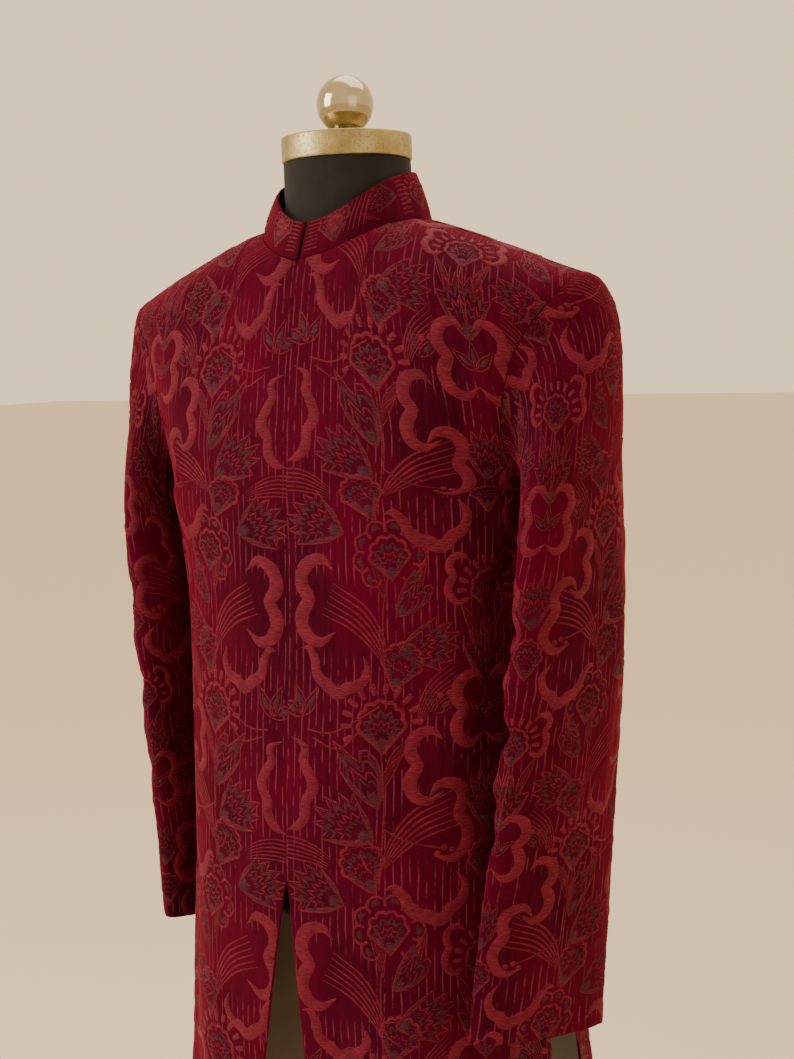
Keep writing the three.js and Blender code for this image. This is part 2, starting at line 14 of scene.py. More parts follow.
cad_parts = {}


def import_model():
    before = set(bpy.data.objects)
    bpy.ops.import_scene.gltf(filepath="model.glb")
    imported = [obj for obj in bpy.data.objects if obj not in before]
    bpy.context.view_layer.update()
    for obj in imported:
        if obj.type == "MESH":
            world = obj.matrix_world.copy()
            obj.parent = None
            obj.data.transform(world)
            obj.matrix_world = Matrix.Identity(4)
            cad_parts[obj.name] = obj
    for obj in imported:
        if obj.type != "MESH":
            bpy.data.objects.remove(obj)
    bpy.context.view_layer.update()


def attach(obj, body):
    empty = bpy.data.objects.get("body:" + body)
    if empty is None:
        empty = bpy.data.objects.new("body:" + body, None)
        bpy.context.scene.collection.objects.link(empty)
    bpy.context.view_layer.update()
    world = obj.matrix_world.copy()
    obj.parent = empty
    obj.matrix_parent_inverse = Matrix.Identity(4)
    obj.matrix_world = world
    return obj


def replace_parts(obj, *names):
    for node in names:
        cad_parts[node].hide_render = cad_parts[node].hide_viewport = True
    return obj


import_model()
MM = 0.001

# ---------- Sizes of the coat, in millimetres ----------
CLOTH = 1.8  # thickness of the velvet
LINING_CLOTH = 1.0
SEAM = 0.3  # gap between two pieces where they are sewn
BACKING = 4.4  # how far inside the velvet's face the underlap and the lining lie
ARMHOLE_GAP = 0.15
SHOULDER_SLOPE = math.tan(math.radians(21))
SHOULDER_EASE = 20  # how softly the yoke turns from level to sloping
NECKLINE = {"side": 80, "front": 86, "back": 78}  # how far the neck hole reaches each way
COLLAR_TOP = {"side": 65, "front": 71, "back": 65, "z": 1504, "front_dip": 46, "dip_power": 4}
COLLAR_GAP = 3.6  # between the collar's two ends
COLLAR_SHAPE = {"height": 46, "rows": 12, "columns": 110, "crown": 1.1}
SLIT_TOP = 871
SLIT_SPREAD = {"left": 0.085, "right": 0.165}  # how fast each edge falls back below the slit's top
LEFT_FLARE = {"front": 0.02, "back": 0.07, "full": 700, "starts": 871}  # the left side hangs wider
UNDERLAP = {"half_width": 28, "cloth": 1.5, "below_neck": 0.25, "bottom": 879, "rows": 90, "columns": 13}
LINING = {"edge": 14, "top": 880, "bottom": 434, "rows": 72, "columns": 40}
# The right front runs on under the left above the slit, and lifts it a little.
LAP = {"width": 14, "ends": 852, "full": 892, "fade": 20, "reach": 16, "under": 2.5, "over": 1.1}
ROLL = {"width": 1.3, "depth": 0.5, "share": 0.6}  # how an edge rolls in, up to a share of the cloth
HEM_TURN = {"width": 30, "depth": 0.5, "reach": 3}  # the ridge that a turned-up hem makes
PUCKER = {"pitch": 13, "depth": 0.9, "starts": 6, "reach": 26}  # ease in the sleeve head
HEAD_ROLL = {"out": 1.6, "at": 9}  # how the sleeve head stands out below its seam
HEAD_SPREAD = 1.6  # how far round the sleeve its head's ease runs, 1 being a plain cosine
EDGE_STEPS = (0.0, 0.4, 0.8, 1.4)  # distances of the fine rows along an edge


def table(names, rows):
    """A table as named columns."""
    return dict(zip(names.split(), np.array(rows, float).T))


def rows_of(columns):
    """The rows of a table, each as a dict."""
    return [dict(zip(columns, values)) for values in zip(*columns.values())]


# Level sections of a half coat, hem to shoulder seam: how square they are, how far they follow the
# shoulder's slope, and for the front and the back the side seam's distance out and its angle, and
# how far the middle stands forward or back.
BODY = table("z square follow edge reach depth back_edge back_reach back_depth", [
    [420, 2.2, 0, 214, 76, 163, 214, 76, 150],
    [580, 2.2, 0, 205, 80, 158, 205, 80, 143],
    [735, 2.2, 0, 195, 84, 153, 195, 84, 134],
    [871, 2.2, 0, 185, 90, 147, 185, 90, 123],
    [1000, 2.3, 0, 181, 90, 136, 181, 90, 113],
    [1090, 2.3, 0, 183, 90, 126, 183, 90, 112],
    [1160, 2.4, 0, 189, 90, 122, 189, 90, 118],
    [1205, 2.5, 0, 196, 90, 121, 196, 90, 123],
    [1224, 2.5, 0, 191, 73, 120, 194, 76, 125],
    [1262, 2.6, 0.05, 187, 61, 117, 192, 67, 126],
    [1325, 2.6, 0.3, 194, 56, 108, 200, 62, 123],
    [1385, 2.6, 0.65, 210, 57, 97, 215, 60, 114],
    [1420, 2.6, 0.88, 224, 58, 88, 226, 60, 104],
    [1443, 2.6, 0.96, 233, 60, 66, 234, 60, 84],
    [1457, 2.6, 1, 237, 60, 35, 237, 60, 50],
    [1462, 2.6, 1, 238, 60, 0, 238, 60, 0],
])
FRONT = {name: BODY[name] for name in ("z", "square", "follow", "edge", "reach", "depth")}
BACK = {**FRONT, **{name: BODY["back_" + name] for name in ("edge", "reach", "depth")}}
ARMPIT_ROW = 7
RIDGE_ROW = 15
YOKE_SHARE = 0.3  # of the front armhole's length; above it each column has its own even steps

# Large folds of the skirt, as the solids have them.
FOLD = "at width out starts full"
FRONT_FOLDS = table(FOLD, [
    [30, 8, 6, 1060, 500],
    [50, 8, -7, 1120, 560],
    [64, 7, 5, 700, 440],
])
BACK_FOLDS = table(FOLD, [
    [24, 9, 6, 1080, 520],
    [44, 8, -6, 1100, 560],
    [63, 7, 7, 1040, 520],
])

# Sections of the hanging sleeves.
ARM = "z out forward thin wide twist lift"
SLEEVE_LEFT = table(ARM, [
    [1140, 227, 8, 28, 84, 6, 0],
    [1060, 226, 16, 27, 81, 12, 0],
    [980, 222, 26, 26, 76, 17, 0],
    [900, 217, 37, 24, 73, 22, 0.02],
    [815, 212, 50, 22, 71, 27, 0.05],
    [727, 208, 62, 18, 70, 32, 0.1],
])
SLEEVE_RIGHT = table(ARM, [
    [1140, 221, 4, 27, 83, 0, 0],
    [1060, 223, 4, 26, 79, 2, 0],
    [980, 225, 2, 25, 75, 4, 0],
    [900, 226, 0, 25, 72, 5, 0.05],
    [825, 226, -2, 24, 70, 6, 0.08],
    [745, 226, -3, 22, 70, 8, 0.15],
])
SLEEVE_CREASES = table("z half_height in", [
    [1085, 16, 4],
    [1020, 14, 5],
    [955, 15, 4],
])
CREASE_TILT = 14  # how far a sleeve crease runs down towards its front
CAP_FULLNESS = {"start": 0.19, "end": 0.64}

# Soft creases placed on each piece: middle (across, up), how far the line leans from
# upright, its half length and half width, how far it stands out (a trough is negative), its bow.
CREASE = "across up lean long wide out bow"
FRONT_LEFT_CREASES = table(CREASE, [
    [214, 1150, 24, 75, 11, -6, 6],
    [236, 1095, 12, 105, 13, 5.4, -5],
    [196, 1050, 8, 150, 16, -4.5, 8],
    [160, 985, 3, 170, 22, 3.3, 5],
    [60, 1040, -4, 210, 34, 2.7, 10],
    [168, 1300, 14, 85, 20, -3.9, 8],
    [110, 1225, 40, 70, 20, 2, 6],
    [128, 640, -2, 190, 26, 4.2, 12],
    [212, 560, 3, 150, 20, -5.1, -8],
    [48, 610, 2, 170, 17, -3.3, 6],
    [84, 500, -3, 110, 20, 3.9, 5],
    [118, 1412, 66, 46, 9, 2.1, 3],
    [20, 930, 1, 70, 9, 1.8, 2],
    [16, 1190, -2, 95, 10, 1.4, -2],
])
FRONT_RIGHT_CREASES = table(CREASE, [
    [200, 1165, 20, 70, 11, -4.8, 5],
    [226, 1090, 8, 130, 14, 5.1, -6],
    [186, 1030, 4, 160, 15, -3.9, 6],
    [150, 930, -3, 150, 24, 3, 8],
    [70, 1080, 4, 170, 30, 2.4, -8],
    [172, 1310, 16, 80, 18, -3.6, 7],
    [96, 690, 2, 170, 24, 3.9, -9],
    [150, 540, -3, 130, 20, -4.5, 6],
    [215, 600, 2, 150, 22, 4.2, 7],
    [58, 530, 4, 110, 16, -3, 4],
    [112, 1408, 62, 42, 9, 1.8, 3],
    [30, 1010, 1, 90, 9, -1.4, 2],
])
BACK_CREASES = table(CREASE, [
    [-210, 1150, -22, 80, 12, -5.4, 5],
    [208, 1160, 24, 75, 12, -5.7, -5],
    [-185, 1060, -8, 120, 15, 4.5, 6],
    [190, 1050, 9, 130, 16, 4.8, -6],
    [-60, 1330, -60, 70, 18, 2.4, 6],
    [64, 1322, 58, 74, 18, 2.4, -6],
    [4, 1190, 2, 150, 26, -3.6, 4],
    [-92, 1000, -3, 150, 22, 3, 8],
    [100, 985, 4, 160, 22, -3, 7],
    [-120, 620, 2, 180, 24, 4.2, 10],
    [132, 640, -3, 190, 26, -3.9, -9],
    [-36, 560, 2, 150, 20, -4.2, 6],
    [52, 580, -2, 160, 20, 3.9, 7],
    [-205, 560, 3, 130, 20, -4.5, 5],
    [214, 530, -3, 120, 20, 3.6, 5],
])
SLEEVE_LEFT_CREASES = table(CREASE, [
    [92, 1100, 78, 52, 9, -5.1, 8],
    [104, 1060, 84, 46, 8, 3.9, -7],
    [96, 1010, 76, 56, 10, -5.7, 9],
    [108, 966, 82, 44, 9, 3.6, -6],
    [88, 915, 70, 50, 10, -4.2, 8],
    [-30, 1170, 8, 130, 18, 2.7, 10],
    [36, 1235, -6, 75, 14, -2.7, 6],
    [-62, 1010, -6, 120, 16, -3.6, 9],
    [10, 880, 10, 110, 18, 2.7, 8],
    [-96, 870, -12, 80, 14, 3.3, 6],
    [60, 800, 14, 60, 12, -2.7, 5],
    [-20, 770, 4, 50, 16, -2.1, 4],
    [-110, 1110, 60, 50, 10, -3.6, 6],
])
SLEEVE_RIGHT_CREASES = table(CREASE, [
    [84, 1112, 74, 54, 12, -2.6, 8],
    [98, 1066, 80, 44, 11, 2, -7],
    [90, 1022, 72, 52, 12, -2.8, 8],
    [102, 972, 78, 42, 11, 1.8, -6],
    [80, 925, 66, 54, 12, -2.4, 7],
    [-24, 1150, 6, 120, 18, 2.4, 9],
    [30, 1225, -8, 70, 14, -2.7, 6],
    [-58, 985, -8, 110, 16, -3.3, 8],
    [14, 860, 8, 100, 18, 2.4, 7],
    [-90, 880, -10, 80, 14, 3, 6],
    [50, 810, 16, 55, 12, -2.4, 5],
])
COLLAR_CREASES = table(CREASE, [
    [-160, 22, 20, 16, 12, 0.5, 3],
    [-84, 18, -14, 18, 14, -0.6, 3],
    [10, 20, 8, 20, 18, 0.5, 2],
    [92, 20, 16, 18, 13, -0.6, 3],
    [168, 24, -10, 16, 12, 0.5, 2],
])

# Sections of the dress form, bottom to neck.
FORM = table("z side front back square", [
    [802, 150, 96, 92, 2.2],
    [812, 158, 104, 100, 2.2],
    [900, 166, 112, 104, 2.2],
    [1000, 158, 106, 94, 2.2],
    [1080, 152, 102, 92, 2.2],
    [1170, 166, 107, 102, 2.3],
    [1250, 176, 108, 110, 2.4],
    [1320, 180, 98, 110, 2.5],
    [1366, 176, 82, 98, 2.5],
    [1396, 152, 70, 82, 2.4],
    [1418, 118, 63, 72, 2.2],
    [1434, 88, 61, 65, 2],
    [1448, 68, 60, 61, 2],
    [1466, 61, 60, 60, 2],
    [1515.7, 60, 60, 60, 2],
])


# ---------- Curves and surfaces ----------
HALVINGS = 40
TABLE_STEPS, COLUMN_STEPS, EDGE_SAMPLES = 4000, 300, 200  # fine steps that lengths are found by


def smooth(x, low, high):
    """0 below low and 1 above high, with a soft step between."""
    t = np.clip((x - low) / (high - low), 0, 1)
    return t * t * (3 - 2 * t)


def bell(x, width):
    """1 at nothing, and close to 0 past this width on either side."""
    return np.exp(-((x / width) ** 2))


def harmonic(a, b):
    """The harmonic mean of two slopes, or 0 where they turn."""
    same = a * b > 0
    return np.where(same, 2 * a * b / np.where(same, a + b, 1), 0)


def row_at(rows, place):
    """A table's row at a fractional place, by a cubic that never swings past its rows.

    Past its last row the table is its own mirror image with the depth turned round.
    """
    place = np.asarray(place, float)
    last = len(rows["z"]) - 1
    i = np.clip(np.floor(place), 0, last - 1).astype(int)
    t = place - i
    s = t * t * (3 - 2 * t)
    found = {}
    for name, column in rows.items():
        beyond = -column[-2] if name == "depth" else column[-2]
        known = np.concatenate([column[:1], column, [beyond]])
        a, b, c, d = (known[i + k] for k in range(4))
        bend = harmonic(b - a, c - b) * t * (1 - t) ** 2 - harmonic(c - b, d - c) * t * t * (1 - t)
        found[name] = b + (c - b) * s + bend
    return found


def place_of(rows, heights):
    """The places in a table where z reaches these heights."""
    fine = np.linspace(0, len(rows["z"]) - 1, TABLE_STEPS)
    return np.interp(heights, row_at(rows, fine)["z"], fine)


def solve(f, low, high):
    """Where a falling function passes zero, by halving; low and high may be arrays."""
    for _ in range(HALVINGS):
        middle = (low + high) / 2
        above = f(middle) > 0
        low, high = np.where(above, middle, low), np.where(above, high, middle)
    return (low + high) / 2


def unit(angle, square):
    """A point of the unit superellipse, turned from its front by an angle in degrees."""
    s, c = np.sin(np.radians(angle)), np.cos(np.radians(angle))
    r = (np.abs(s) ** square + np.abs(c) ** square) ** (-1 / square)
    return s * r, c * r


def folds_at(folds, angle, z):
    """How far the skirt's large folds stand out."""
    out = 0
    for fold in rows_of(folds):
        across = bell(np.abs(angle) - fold["at"], fold["width"])
        out = out + fold["out"] * across * (1 - smooth(z, fold["full"], fold["starts"]))
    return out


FRONT_HALF = {"rows": FRONT, "folds": FRONT_FOLDS, "face": -1, "gap": SEAM / 2, "flare": 0}
BACK_HALF = {"rows": BACK, "folds": BACK_FOLDS, "face": 1, "gap": 0, "flare": 0}
LEFT_FRONT_HALF = {**FRONT_HALF, "flare": LEFT_FLARE["front"]}
LEFT_BACK_HALF = {**BACK_HALF, "flare": LEFT_FLARE["back"]}


def body_point(half, angle, place):
    """A point on the outside of the coat's body, on the wearer's left."""
    row = row_at(half["rows"], place)
    s, c = unit(angle, row["square"])
    swell = 1 + folds_at(half["folds"], angle, row["z"]) / row["edge"]
    wider = 1 + half["flare"] * (1 - smooth(row["z"], LEFT_FLARE["full"], LEFT_FLARE["starts"]))
    x = half["gap"] + row["edge"] / unit(row["reach"], row["square"])[0] * s * swell * wider
    y = half["face"] * (SEAM / 2 + row["depth"] * c * swell)
    over = np.abs(x) - NECKLINE["side"]
    drop = (over + np.hypot(over, SHOULDER_EASE)) / 2
    return np.stack([x, y, row["z"] - row["follow"] * SHOULDER_SLOPE * drop], -1)


def unit_vectors(v):
    """Vectors of any length brought to length 1."""
    return v / np.maximum(np.linalg.norm(v, axis=-1, keepdims=True), 1e-9)


def walked(points, axis=0):
    """Distance walked along a grid's rows or columns, from 0."""
    steps = np.linalg.norm(np.diff(points, axis=axis), axis=-1)
    first = np.zeros_like(np.take(steps, [0], axis=axis))
    return np.concatenate([first, np.cumsum(steps, axis=axis)], axis=axis)


def spaced(length, spans, start=True, end=True):
    """Shares of a length: even steps, with a few fine ones at the ends that are cloth edges."""
    low = EDGE_STEPS[-1] if start else 0
    high = length - (EDGE_STEPS[-1] if end else 0)
    near = np.array(EDGE_STEPS[:-1])
    parts = [near if start else []]
    parts += [np.linspace(low, high, spans + 1), length - near[::-1] if end else []]
    return np.concatenate(parts) / length


def even_places(half, angle_at, low, high, shares):
    """Places up each column from low to high, at these shares of its length on the cloth."""
    fine = low + (high - low) * np.linspace(0, 1, COLUMN_STEPS)[:, None]
    far = walked(body_point(half, angle_at(fine), fine))
    columns = [np.interp(shares * far[-1, i], far[:, i], fine[:, i]) for i in range(far.shape[1])]
    return np.stack(columns, 1)


def normals_of(points):
    """Outward directions of a grid, which are those that point away from its rows' middles."""
    normals = unit_vectors(np.cross(np.gradient(points, axis=1), np.gradient(points, axis=0)))
    away = points - points.mean(axis=1, keepdims=True)
    return normals if np.sum(normals * away) > 0 else -normals


# ---------- Cloth pieces as grids ----------
class Sheet:
    """A piece of cloth: its outer points (rows up, columns across) and their flat coordinates."""

    def __init__(self, points, across, up, creases=None, lift=None):
        self.across, self.up = across, up
        normals = normals_of(points)
        out = np.zeros(across.shape) if lift is None else lift
        if creases is not None:
            out = out + creases_at(creases, across, up)
        self.points = points + normals * out[..., None]
        self.normals = normals_of(self.points)

    def area(self):
        """Area of the outer face in square metres."""
        a = np.diff(self.points, axis=0)[:, :-1]
        b = np.diff(self.points, axis=1)[:-1]
        return float(np.linalg.norm(np.cross(a, b), axis=-1).sum()) * MM * MM

    def to_edges(self):
        """How far each point is from the piece's nearest edge."""
        sides = np.minimum(self.across - self.across[:, :1], self.across[:, -1:] - self.across)
        ends = np.minimum(self.up - self.up[:1], self.up[-1:] - self.up)
        return np.minimum(np.abs(sides), np.abs(ends))


def creases_at(creases, across, up):
    """How far a piece's soft creases stand out."""
    out = np.zeros(across.shape)
    for crease in rows_of(creases):
        lean = math.radians(crease["lean"])
        dx, dy = across - crease["across"], up - crease["up"]
        along = (dx * math.sin(lean) + dy * math.cos(lean)) / crease["long"]
        beside = dx * math.cos(lean) - dy * math.sin(lean) + crease["bow"] * along**2
        out += crease["out"] * np.exp(-((beside / crease["wide"]) ** 2) - along**4)
    return out


SKIRT_ROWS = 132
YOKE_ROWS = 16
UPPER_ROWS = 40
NECK_SPANS = 16
SIDE_SPANS = 34
SIZES = {"skirt": 785, "upper": 210, "neck": 85, "side": 190}  # rough lengths that set the steps


def armhole_angle(rows):
    """The angle of the side edge at each place."""
    return lambda place: row_at(rows, place)["reach"]


ARMHOLE_START = even_places(
    FRONT_HALF, armhole_angle(FRONT), ARMPIT_ROW, RIDGE_ROW, np.linspace(0, YOKE_SHARE, YOKE_ROWS + 1)
)[:, 0]
YOKE_PLACE = ARMHOLE_START[-1]


def column_top(half, angle_at, count):
    """Where each column runs into the neck hole, or the shoulder seam."""
    deep = NECKLINE["front"] if half["face"] < 0 else NECKLINE["back"]

    def inside(place):
        p = body_point(half, angle_at(place), place)
        return (p[..., 0] / NECKLINE["side"]) ** 2 + (p[..., 1] / deep) ** 2 - 1

    return solve(inside, np.full(count, YOKE_PLACE), np.full(count, float(RIDGE_ROW)))


def half_panel(half, start, mirror=False, open_centre=True):
    """Points of a half panel; start(place) is the angle of its inner edge."""

    def angle_at(shares):
        def angle(place):
            inner = start(place)
            return inner + shares * (row_at(half["rows"], place)["reach"] - inner)

        return angle

    ridge = lambda share: body_point(half, angle_at(share)(RIDGE_ROW), RIDGE_ROW)[..., 0]
    neck_share = float(solve(lambda share: NECKLINE["side"] - ridge(share), 0.0, 1.0))
    neck = spaced(SIZES["neck"], NECK_SPANS, start=open_centre, end=False) * neck_share
    side = neck_share + spaced(SIZES["side"], SIDE_SPANS, start=False)[1:] * (1 - neck_share)
    shares = np.concatenate([neck, side])
    heights = FRONT["z"][0] + spaced(SIZES["skirt"], SKIRT_ROWS, end=False) * SIZES["skirt"]
    level = np.concatenate([place_of(FRONT, heights), ARMHOLE_START[1:]])
    angle = angle_at(shares)
    tops = np.full(len(shares), float(RIDGE_ROW))
    tops[: len(neck) - 1] = column_top(half, angle_at(neck[:-1]), len(neck) - 1)
    above = even_places(half, angle, YOKE_PLACE, tops, spaced(SIZES["upper"], UPPER_ROWS, start=False)[1:])
    places = np.concatenate([np.repeat(level[:, None], len(shares), 1), above])
    points = body_point(half, angle(places), places)
    if mirror:
        points[..., 0] *= -1
    return points, len(neck)


def flat_of(points, side):
    """Flat cloth coordinates of a half panel: from the centre plane across, and up from the hem."""
    across = side * points[:, :1, 0] + walked(points, axis=1)
    return side * across, FRONT["z"][0] + walked(points)


def slit_angle(spread, lap=0):
    """The angle of a front's inner edge, which falls back below the slit's top."""

    def angle(place):
        row = row_at(FRONT, place)
        back = np.maximum(SLIT_TOP - row["z"], 0) * spread
        under = lap * smooth(row["z"], LAP["ends"], LAP["full"])
        return np.degrees(np.arctan((back - under) / row["edge"]))

    return angle


def hem_ridge(up):
    """The low ridge along the top of a turned-up hem."""
    return HEM_TURN["depth"] * bell(up - up[0] - HEM_TURN["width"], HEM_TURN["reach"])


def front_sheet(half, side, creases):
    """A front, from the centre to the side seam. The right one runs on under the left."""
    left = side > 0
    start = slit_angle(SLIT_SPREAD["left" if left else "right"], 0 if left else LAP["width"])
    points, neck = half_panel(half, start, mirror=not left)
    across, up = flat_of(points, side)
    near = bell(np.maximum(side * across, 0), LAP["reach"])
    above_slit = smooth(up, LAP["ends"] - LAP["fade"], LAP["full"])
    lap = near * above_slit * (LAP["over"] if left else -LAP["under"])
    return Sheet(points, across, up, creases, lap + hem_ridge(up)), neck


def joined(right, left):
    """A whole grid from its halves, which share their first column."""
    return np.concatenate([right[:, :0:-1], left], axis=1)


def back_sheet():
    """The back, cut in one piece."""
    start = lambda place: 0 * place
    left, neck = half_panel(LEFT_BACK_HALF, start, open_centre=False)
    right, _ = half_panel(BACK_HALF, start, mirror=True, open_centre=False)
    across, up = (joined(*pair) for pair in zip(flat_of(right, -1), flat_of(left, 1)))
    return Sheet(joined(right, left), across, up, BACK_CREASES, hem_ridge(up)), neck


def inner_sheet(half, angles, places, mirror=False):
    """A piece that lies behind the coat's body."""
    points = body_point(half, angles, places)
    if mirror:
        points[..., 0] *= -1
    return points - normals_of(points) * BACKING


def underlap_sheet():
    """The strip behind the front opening, from the neck to the slit."""
    offsets = np.linspace(-1, 1, UNDERLAP["columns"]) * UNDERLAP["half_width"]
    angle = lambda place: np.degrees(np.arctan(offsets / row_at(FRONT, place)["edge"]))
    tops = column_top(FRONT_HALF, angle, len(offsets)) - UNDERLAP["below_neck"]
    bottom = place_of(FRONT, UNDERLAP["bottom"])
    places = bottom + (tops - bottom) * np.linspace(0, 1, UNDERLAP["rows"])[:, None]
    points = inner_sheet(FRONT_HALF, angle(places), places)
    return Sheet(points, np.repeat(offsets[None], UNDERLAP["rows"], 0), walked(points))


def lining_sheet():
    """The lining of the back's skirt, with the back's creases."""
    heights = np.linspace(LINING["bottom"], LINING["top"], LINING["rows"])
    places = place_of(BACK, heights)[:, None]
    row = row_at(BACK, places)
    edge = row["reach"] - np.degrees(LINING["edge"] / row["edge"])
    angles = np.linspace(0, 1, LINING["columns"]) * edge
    left = inner_sheet(LEFT_BACK_HALF, angles, places + 0 * angles)
    right = inner_sheet(BACK_HALF, angles, places + 0 * angles, mirror=True)
    points = joined(right, left)
    across = walked(points, axis=1)
    up = LINING["bottom"] + walked(points)
    middle = LINING["columns"] - 1
    return Sheet(points, across - across[:, [middle]], up, BACK_CREASES)


# ---------- Sleeves ----------
def armhole(half, fractions):
    """Points of an armhole edge, armpit (0) to shoulder (1), with normals and ways out of it."""
    angle = armhole_angle(half["rows"])
    samples = np.linspace(0, 1, EDGE_SAMPLES)
    upper = even_places(half, angle, YOKE_PLACE, RIDGE_ROW, samples)[:, 0]
    upper = np.interp(fractions, np.linspace(YOKE_SHARE, 1, EDGE_SAMPLES), upper)
    lower = np.interp(fractions, np.linspace(0, YOKE_SHARE, YOKE_ROWS + 1), ARMHOLE_START)
    place = np.where(fractions < YOKE_SHARE, lower, upper)
    step = 0.01
    here = body_point(half, angle(place), place)
    across = here - body_point(half, angle(place) - step, place)
    inside = np.minimum(place, RIDGE_ROW - 2 * step)
    up = body_point(half, angle(inside), inside + step) - body_point(half, angle(inside), inside)
    normal = unit_vectors(np.cross(across, up) * -half["face"])
    away = unit_vectors(np.cross(np.gradient(here, axis=0), normal))
    away *= np.where(np.sum(away * across, -1, keepdims=True) < 0, -1, 1)
    return here, normal, away


def arm_point(rows, place, turn, creased):
    """A point of the hanging sleeve, turned (degrees) from its outer edge by way of its front."""
    row = row_at(rows, place)
    twist, turn = np.radians(row["twist"]), np.radians(turn)
    crease = 0
    for line in rows_of(SLEEVE_CREASES):
        level = row["z"] - line["z"] + CREASE_TILT * np.sin(turn)
        crease = crease + creased * line["in"] * bell(level, line["half_height"])
    front = np.maximum(np.sin(turn), 0) ** 2
    wide = (row["wide"] - crease * front) * np.sin(turn)
    thin = row["thin"] * np.cos(turn)
    x = row["out"] + np.cos(twist) * thin - np.sin(twist) * wide
    y = -row["forward"] - np.sin(twist) * thin - np.cos(twist) * wide
    return np.stack([x, y, row["z"] + row["lift"] * wide], -1)


CAP_ROWS = 34
ARM_ROWS = 72
SLEEVE_SPANS = 96
SLEEVE_SIZES = {"girth": 330, "cap": 200, "arm": 415}  # rough lengths that set the steps
SHOULDER_BLEND = 0.02  # share of the sleeve over which its front and back meet at the shoulder
RISE = 0.4  # share of the armhole's height over which the sleeve turns to leave it sideways


def sleeve_sheet(rows, front, back, side, creases, creased):
    """A sleeve as a sheet that is sewn up under the arm: cuff to armhole, back round to front."""
    girth = SLEEVE_SIZES["girth"]
    around = 2 * spaced(girth, SLEEVE_SPANS) - 1
    around *= 1 - SEAM / girth
    turn = 180 * around
    edges = [armhole(half, 1 - np.abs(around)) for half in (front, back)]
    behind = around[:, None] < 0
    here, normal, away = (np.where(behind, b, f) for f, b in zip(*edges))
    ridge = bell(around[:, None], SHOULDER_BLEND)
    away = unit_vectors(away + ridge * (away[::-1] - away) / 2)
    low, high = here[:, 2].min(), here[:, 2].max()
    rise = smooth(here[:, 2:], low, low + RISE * (high - low))
    leaving = unit_vectors(normal * (1 - rise) + away * rise)
    start = here + away * ARMHOLE_GAP
    end = arm_point(rows, 0.0, turn, creased)
    along = unit_vectors(end - arm_point(rows, 0.1, turn, creased))
    reach = np.linalg.norm(end - start, axis=-1, keepdims=True)
    control = [start, start + leaving * reach * CAP_FULLNESS["start"]]
    control += [end + along * reach * CAP_FULLNESS["end"], end]
    t = spaced(SLEEVE_SIZES["cap"], CAP_ROWS, end=False)[:, None, None]
    weights = [(1 - t) ** 3, 3 * (1 - t) ** 2 * t, 3 * (1 - t) * t * t, t**3]
    cap = sum(w * c for w, c in zip(weights, control))
    last = len(rows["z"]) - 1
    places = last * spaced(SLEEVE_SIZES["arm"], ARM_ROWS, start=False)[1:, None]
    points = np.concatenate([cap, arm_point(rows, places, turn, creased)])[::-1].copy()
    if side < 0:
        points[..., 0] *= -1
    across = walked(points, axis=1)
    across = across - across[:, len(around) // 2][:, None]
    up = walked(points)
    up = up - up[ARM_ROWS][None] + rows["z"][0]
    below_head = walked(points[::-1])[::-1]
    high_up = np.clip(np.cos(np.radians(turn)) * HEAD_SPREAD, 0, 1)
    pucker = PUCKER["depth"] * np.cos(2 * np.pi * across / PUCKER["pitch"]) * high_up
    pucker = pucker * bell(below_head, PUCKER["reach"]) * smooth(below_head, 0, PUCKER["starts"])
    ease = HEAD_ROLL["out"] * high_up * bell(below_head - HEAD_ROLL["at"], HEAD_ROLL["at"])
    return Sheet(points, across, up, creases, pucker + ease + hem_ridge(up))


# ---------- Collar ----------
def collar_sheet(front, front_neck, back, back_neck):
    """The stand collar, from the wearer's left end round the back to the right end."""
    left = front.points[-1, :front_neck]
    middle = back.points.shape[1] // 2
    behind = back.points[-1, middle : middle + back_neck]
    gap_at = np.interp(COLLAR_GAP / 2, left[:, 0], np.arange(front_neck))
    start = [np.interp(gap_at, np.arange(front_neck), left[:, k]) for k in range(3)]
    ahead = left[left[:, 0] > COLLAR_GAP / 2 + 1][:-1]
    half = np.concatenate([[start], ahead, behind[::-1]])
    half[:, 0] = np.maximum(half[:, 0], 0)
    other = half[:-1][::-1] * [-1, 1, 1]
    line = np.concatenate([half, other])
    far = walked(line)
    shares = spaced(far[-1], COLLAR_SHAPE["columns"]) * far[-1]
    line = np.stack([np.interp(shares, far, line[:, k]) for k in range(3)], -1)
    ahead_of = line[:, 1] < 0
    deep = np.where(ahead_of, NECKLINE["front"], NECKLINE["back"])
    angle = np.arctan2(line[:, 0] / NECKLINE["side"], -line[:, 1] / deep)
    top_deep = np.where(ahead_of, COLLAR_TOP["front"], COLLAR_TOP["back"])
    dip = COLLAR_TOP["front_dip"] * ((1 + np.cos(angle)) / 2) ** COLLAR_TOP["dip_power"]
    x, y = COLLAR_TOP["side"] * np.sin(angle), -top_deep * np.cos(angle)
    top = np.stack([x, y, COLLAR_TOP["z"] - dip], -1)
    t = spaced(COLLAR_SHAPE["height"], COLLAR_SHAPE["rows"])[:, None, None]
    points = (line + [0, 0, ARMHOLE_GAP]) * (1 - t) + top * t
    across = walked(points, axis=1).mean(axis=0) + np.zeros((len(points), 1))
    across = across - across[:, -1:] / 2
    up = walked(points)
    crown = COLLAR_SHAPE["crown"] * np.sin(np.pi * t[..., 0]) + 0 * across
    return Sheet(points, across, up, COLLAR_CREASES, crown)


